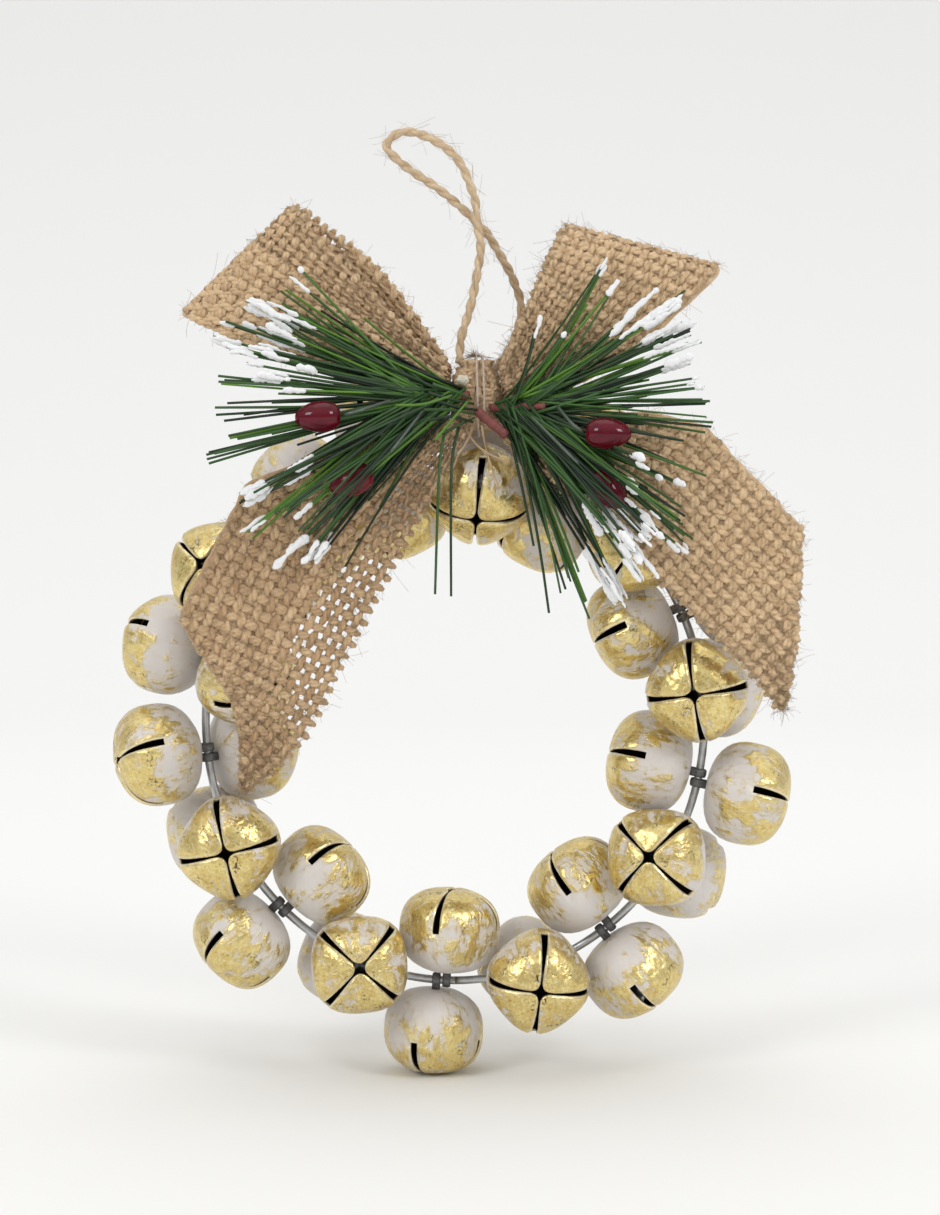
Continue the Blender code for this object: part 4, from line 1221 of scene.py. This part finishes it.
for node, tufts in TUFTS.items():
    draw = random.Random(len(node) * 7)
    needles, flock = Strands(5), Strands(7)
    for x, y, z, count, length in tufts:
        tint_of_tuft = draw.uniform(-0.2, 0.2)
        for k in range(count + round(count * FILLERS)):
            shake = np.array([draw.gauss(0, 1.3), draw.gauss(0, 1.2), draw.gauss(0, 1.3)])
            tip = np.array((x, y, z)) + shake * (count > 2)
            path = needle_path(STEMS[node], tip, draw)
            if k >= count:
                path = path[0] + (path - path[0]) * draw.uniform(0.55, 0.85) + (0, 1.2, 0)
            add_needle(needles, path, draw.random() + tint_of_tuft, draw)
            if length and k < count and draw.random() < 0.9:
                snow_on(flock, path, length * draw.uniform(0.55, 1.1), draw)
    for start, middle, end, shade in LOOSE_NEEDLES if node == "pine_sprig_left" else ():
        add_needle(needles, curve_at((start, middle, end), np.linspace(0, 1, 12)), shade, draw)
    fan = needles.piece(node + "_needles", needle_finish, "pine_needles")
    flock.piece(node + "_snow", snow, "pine_needles")
    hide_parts(node)
    print(node, "needle faces", len(fan.data.polygons))

# %% [markdown]
# The berries are lacquered eggs on thin plastic wires that leave the taped stem. The lacquer is
# glossy and a mottled dark red.

# %% Stems and berries
BERRIES = {
    "pine_sprig_left": (("berry_left_upper", (-31, -37, 74.4), (-1, -0.1, -0.06)),
                        ("berry_left_lower", (-23.5, -35, 59.7), (-0.9, -0.1, -0.42))),
    "pine_sprig_right": (("berry_right_upper", (35.2, -37, 70.6), (1, -0.1, -0.04)),
                         ("berry_right_lower", (35.2, -36, 57.6), (0.7, -0.1, -0.6)))}
BERRY_SIZE = (11.0, 7.2)
BERRY_TAPER = 0.14
BERRY_DIMPLE = 0.10
BERRY_RINGS, BERRY_SIDES = 16, 24
BERRY_STARTS = (0.75, 0.35)
STEM_SHOWN = 0.62
WIRE_BOW = np.array((0, -3.5, 0))
# the cut end of the left stem, which shows on the right of the knot
STEM_STUB = ((5.0, -22.0, 76.0), (12.2, -24.0, 70.0))

lacquer = Finish("berry_lacquer", {"Specular IOR Level": 0.38, "IOR": 1.45})
berry_place = lacquer.place()
mottle = lacquer.noise(berry_place, 330.0, 3.0)
lacquer.set({"Base Color": lacquer.mix(mottle, "32020E", "6E071F"),
             "Roughness": 0.05 + mottle * 0.06,
             "Normal": lacquer.bump(lacquer.noise(berry_place, 160.0), 0.12, 0.5)})
wire_green = Finish("green_berry_wire", {"Coat Weight": 0.4})
wire_green.vary(wire_green.noise(wire_green.mark("lay", "Vector"), 1.5), "2C352C", "5A665A", 0.3)


def berry_egg(centre, way):
    """An egg with a small dimple where its wire enters."""
    side = unit(np.cross(way, (0, 0, 1)))
    axes = np.stack((side, np.cross(way, side), way))
    points = []
    for k in range(1, BERRY_RINGS):
        polar = math.pi * k / BERRY_RINGS
        height = -math.cos(polar)
        reach = math.sin(polar) * (1 - BERRY_TAPER * height)
        height += BERRY_DIMPLE * math.exp(-(polar / 0.35) ** 2)
        for j in range(BERRY_SIDES):
            turn = 2 * math.pi * j / BERRY_SIDES
            points.append((reach * math.cos(turn), reach * math.sin(turn), height))
    size = np.array((BERRY_SIZE[1], BERRY_SIZE[1], BERRY_SIZE[0])) / 2
    return centre + (np.array(points) * size) @ axes, tube_faces(BERRY_RINGS - 1, BERRY_SIDES)


for node, stem in STEMS.items():
    root_end, stem_end = (np.array(end) for end in stem)
    stem_tape = Strands(12)
    line = root_end + (stem_end - root_end) * np.linspace(0, STEM_SHOWN, 24)[:, None]
    bulge = 1 + 0.06 * np.sin(np.arange(24) * 1.9)
    stem_tape.add(line, (0, 0, 1), 2.2 * bulge, 2.0 * bulge, 0.5, 1.2)
    if node == "pine_sprig_left":
        stub = np.array(STEM_STUB[0]) + np.subtract(*STEM_STUB[::-1]) * np.linspace(0, 1, 10)[:, None]
        stem_tape.add(stub, (0, 1, 0), 2.2, 2.0, 0.7, 1.2)
    stem_tape.piece(node + "_stem", tape, "pine_needles")
    wires = Strands(7)
    for (berry_name, centre, way), share in zip(BERRIES[node], BERRY_STARTS):
        start = root_end + (stem_end - root_end) * share
        centre, way = np.array(centre), unit(np.array(way))
        points, faces = berry_egg(centre, way)
        berry = piece(berry_name + "_lacquered", points, faces, [lacquer])
        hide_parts(berry_name)
        end = centre - way * (BERRY_SIZE[0] / 2 - 0.2)
        bent = even_curve((start, end * 0.7 + start * 0.3 - way + WIRE_BOW, end), 1.5)
        wires.add(bent, (0, 0.3, 1), 0.8, 0.8, 0.5, 0.5)
    wires.piece(node + "_berry_wires", wire_green, "pine_needles")
print("berries made")
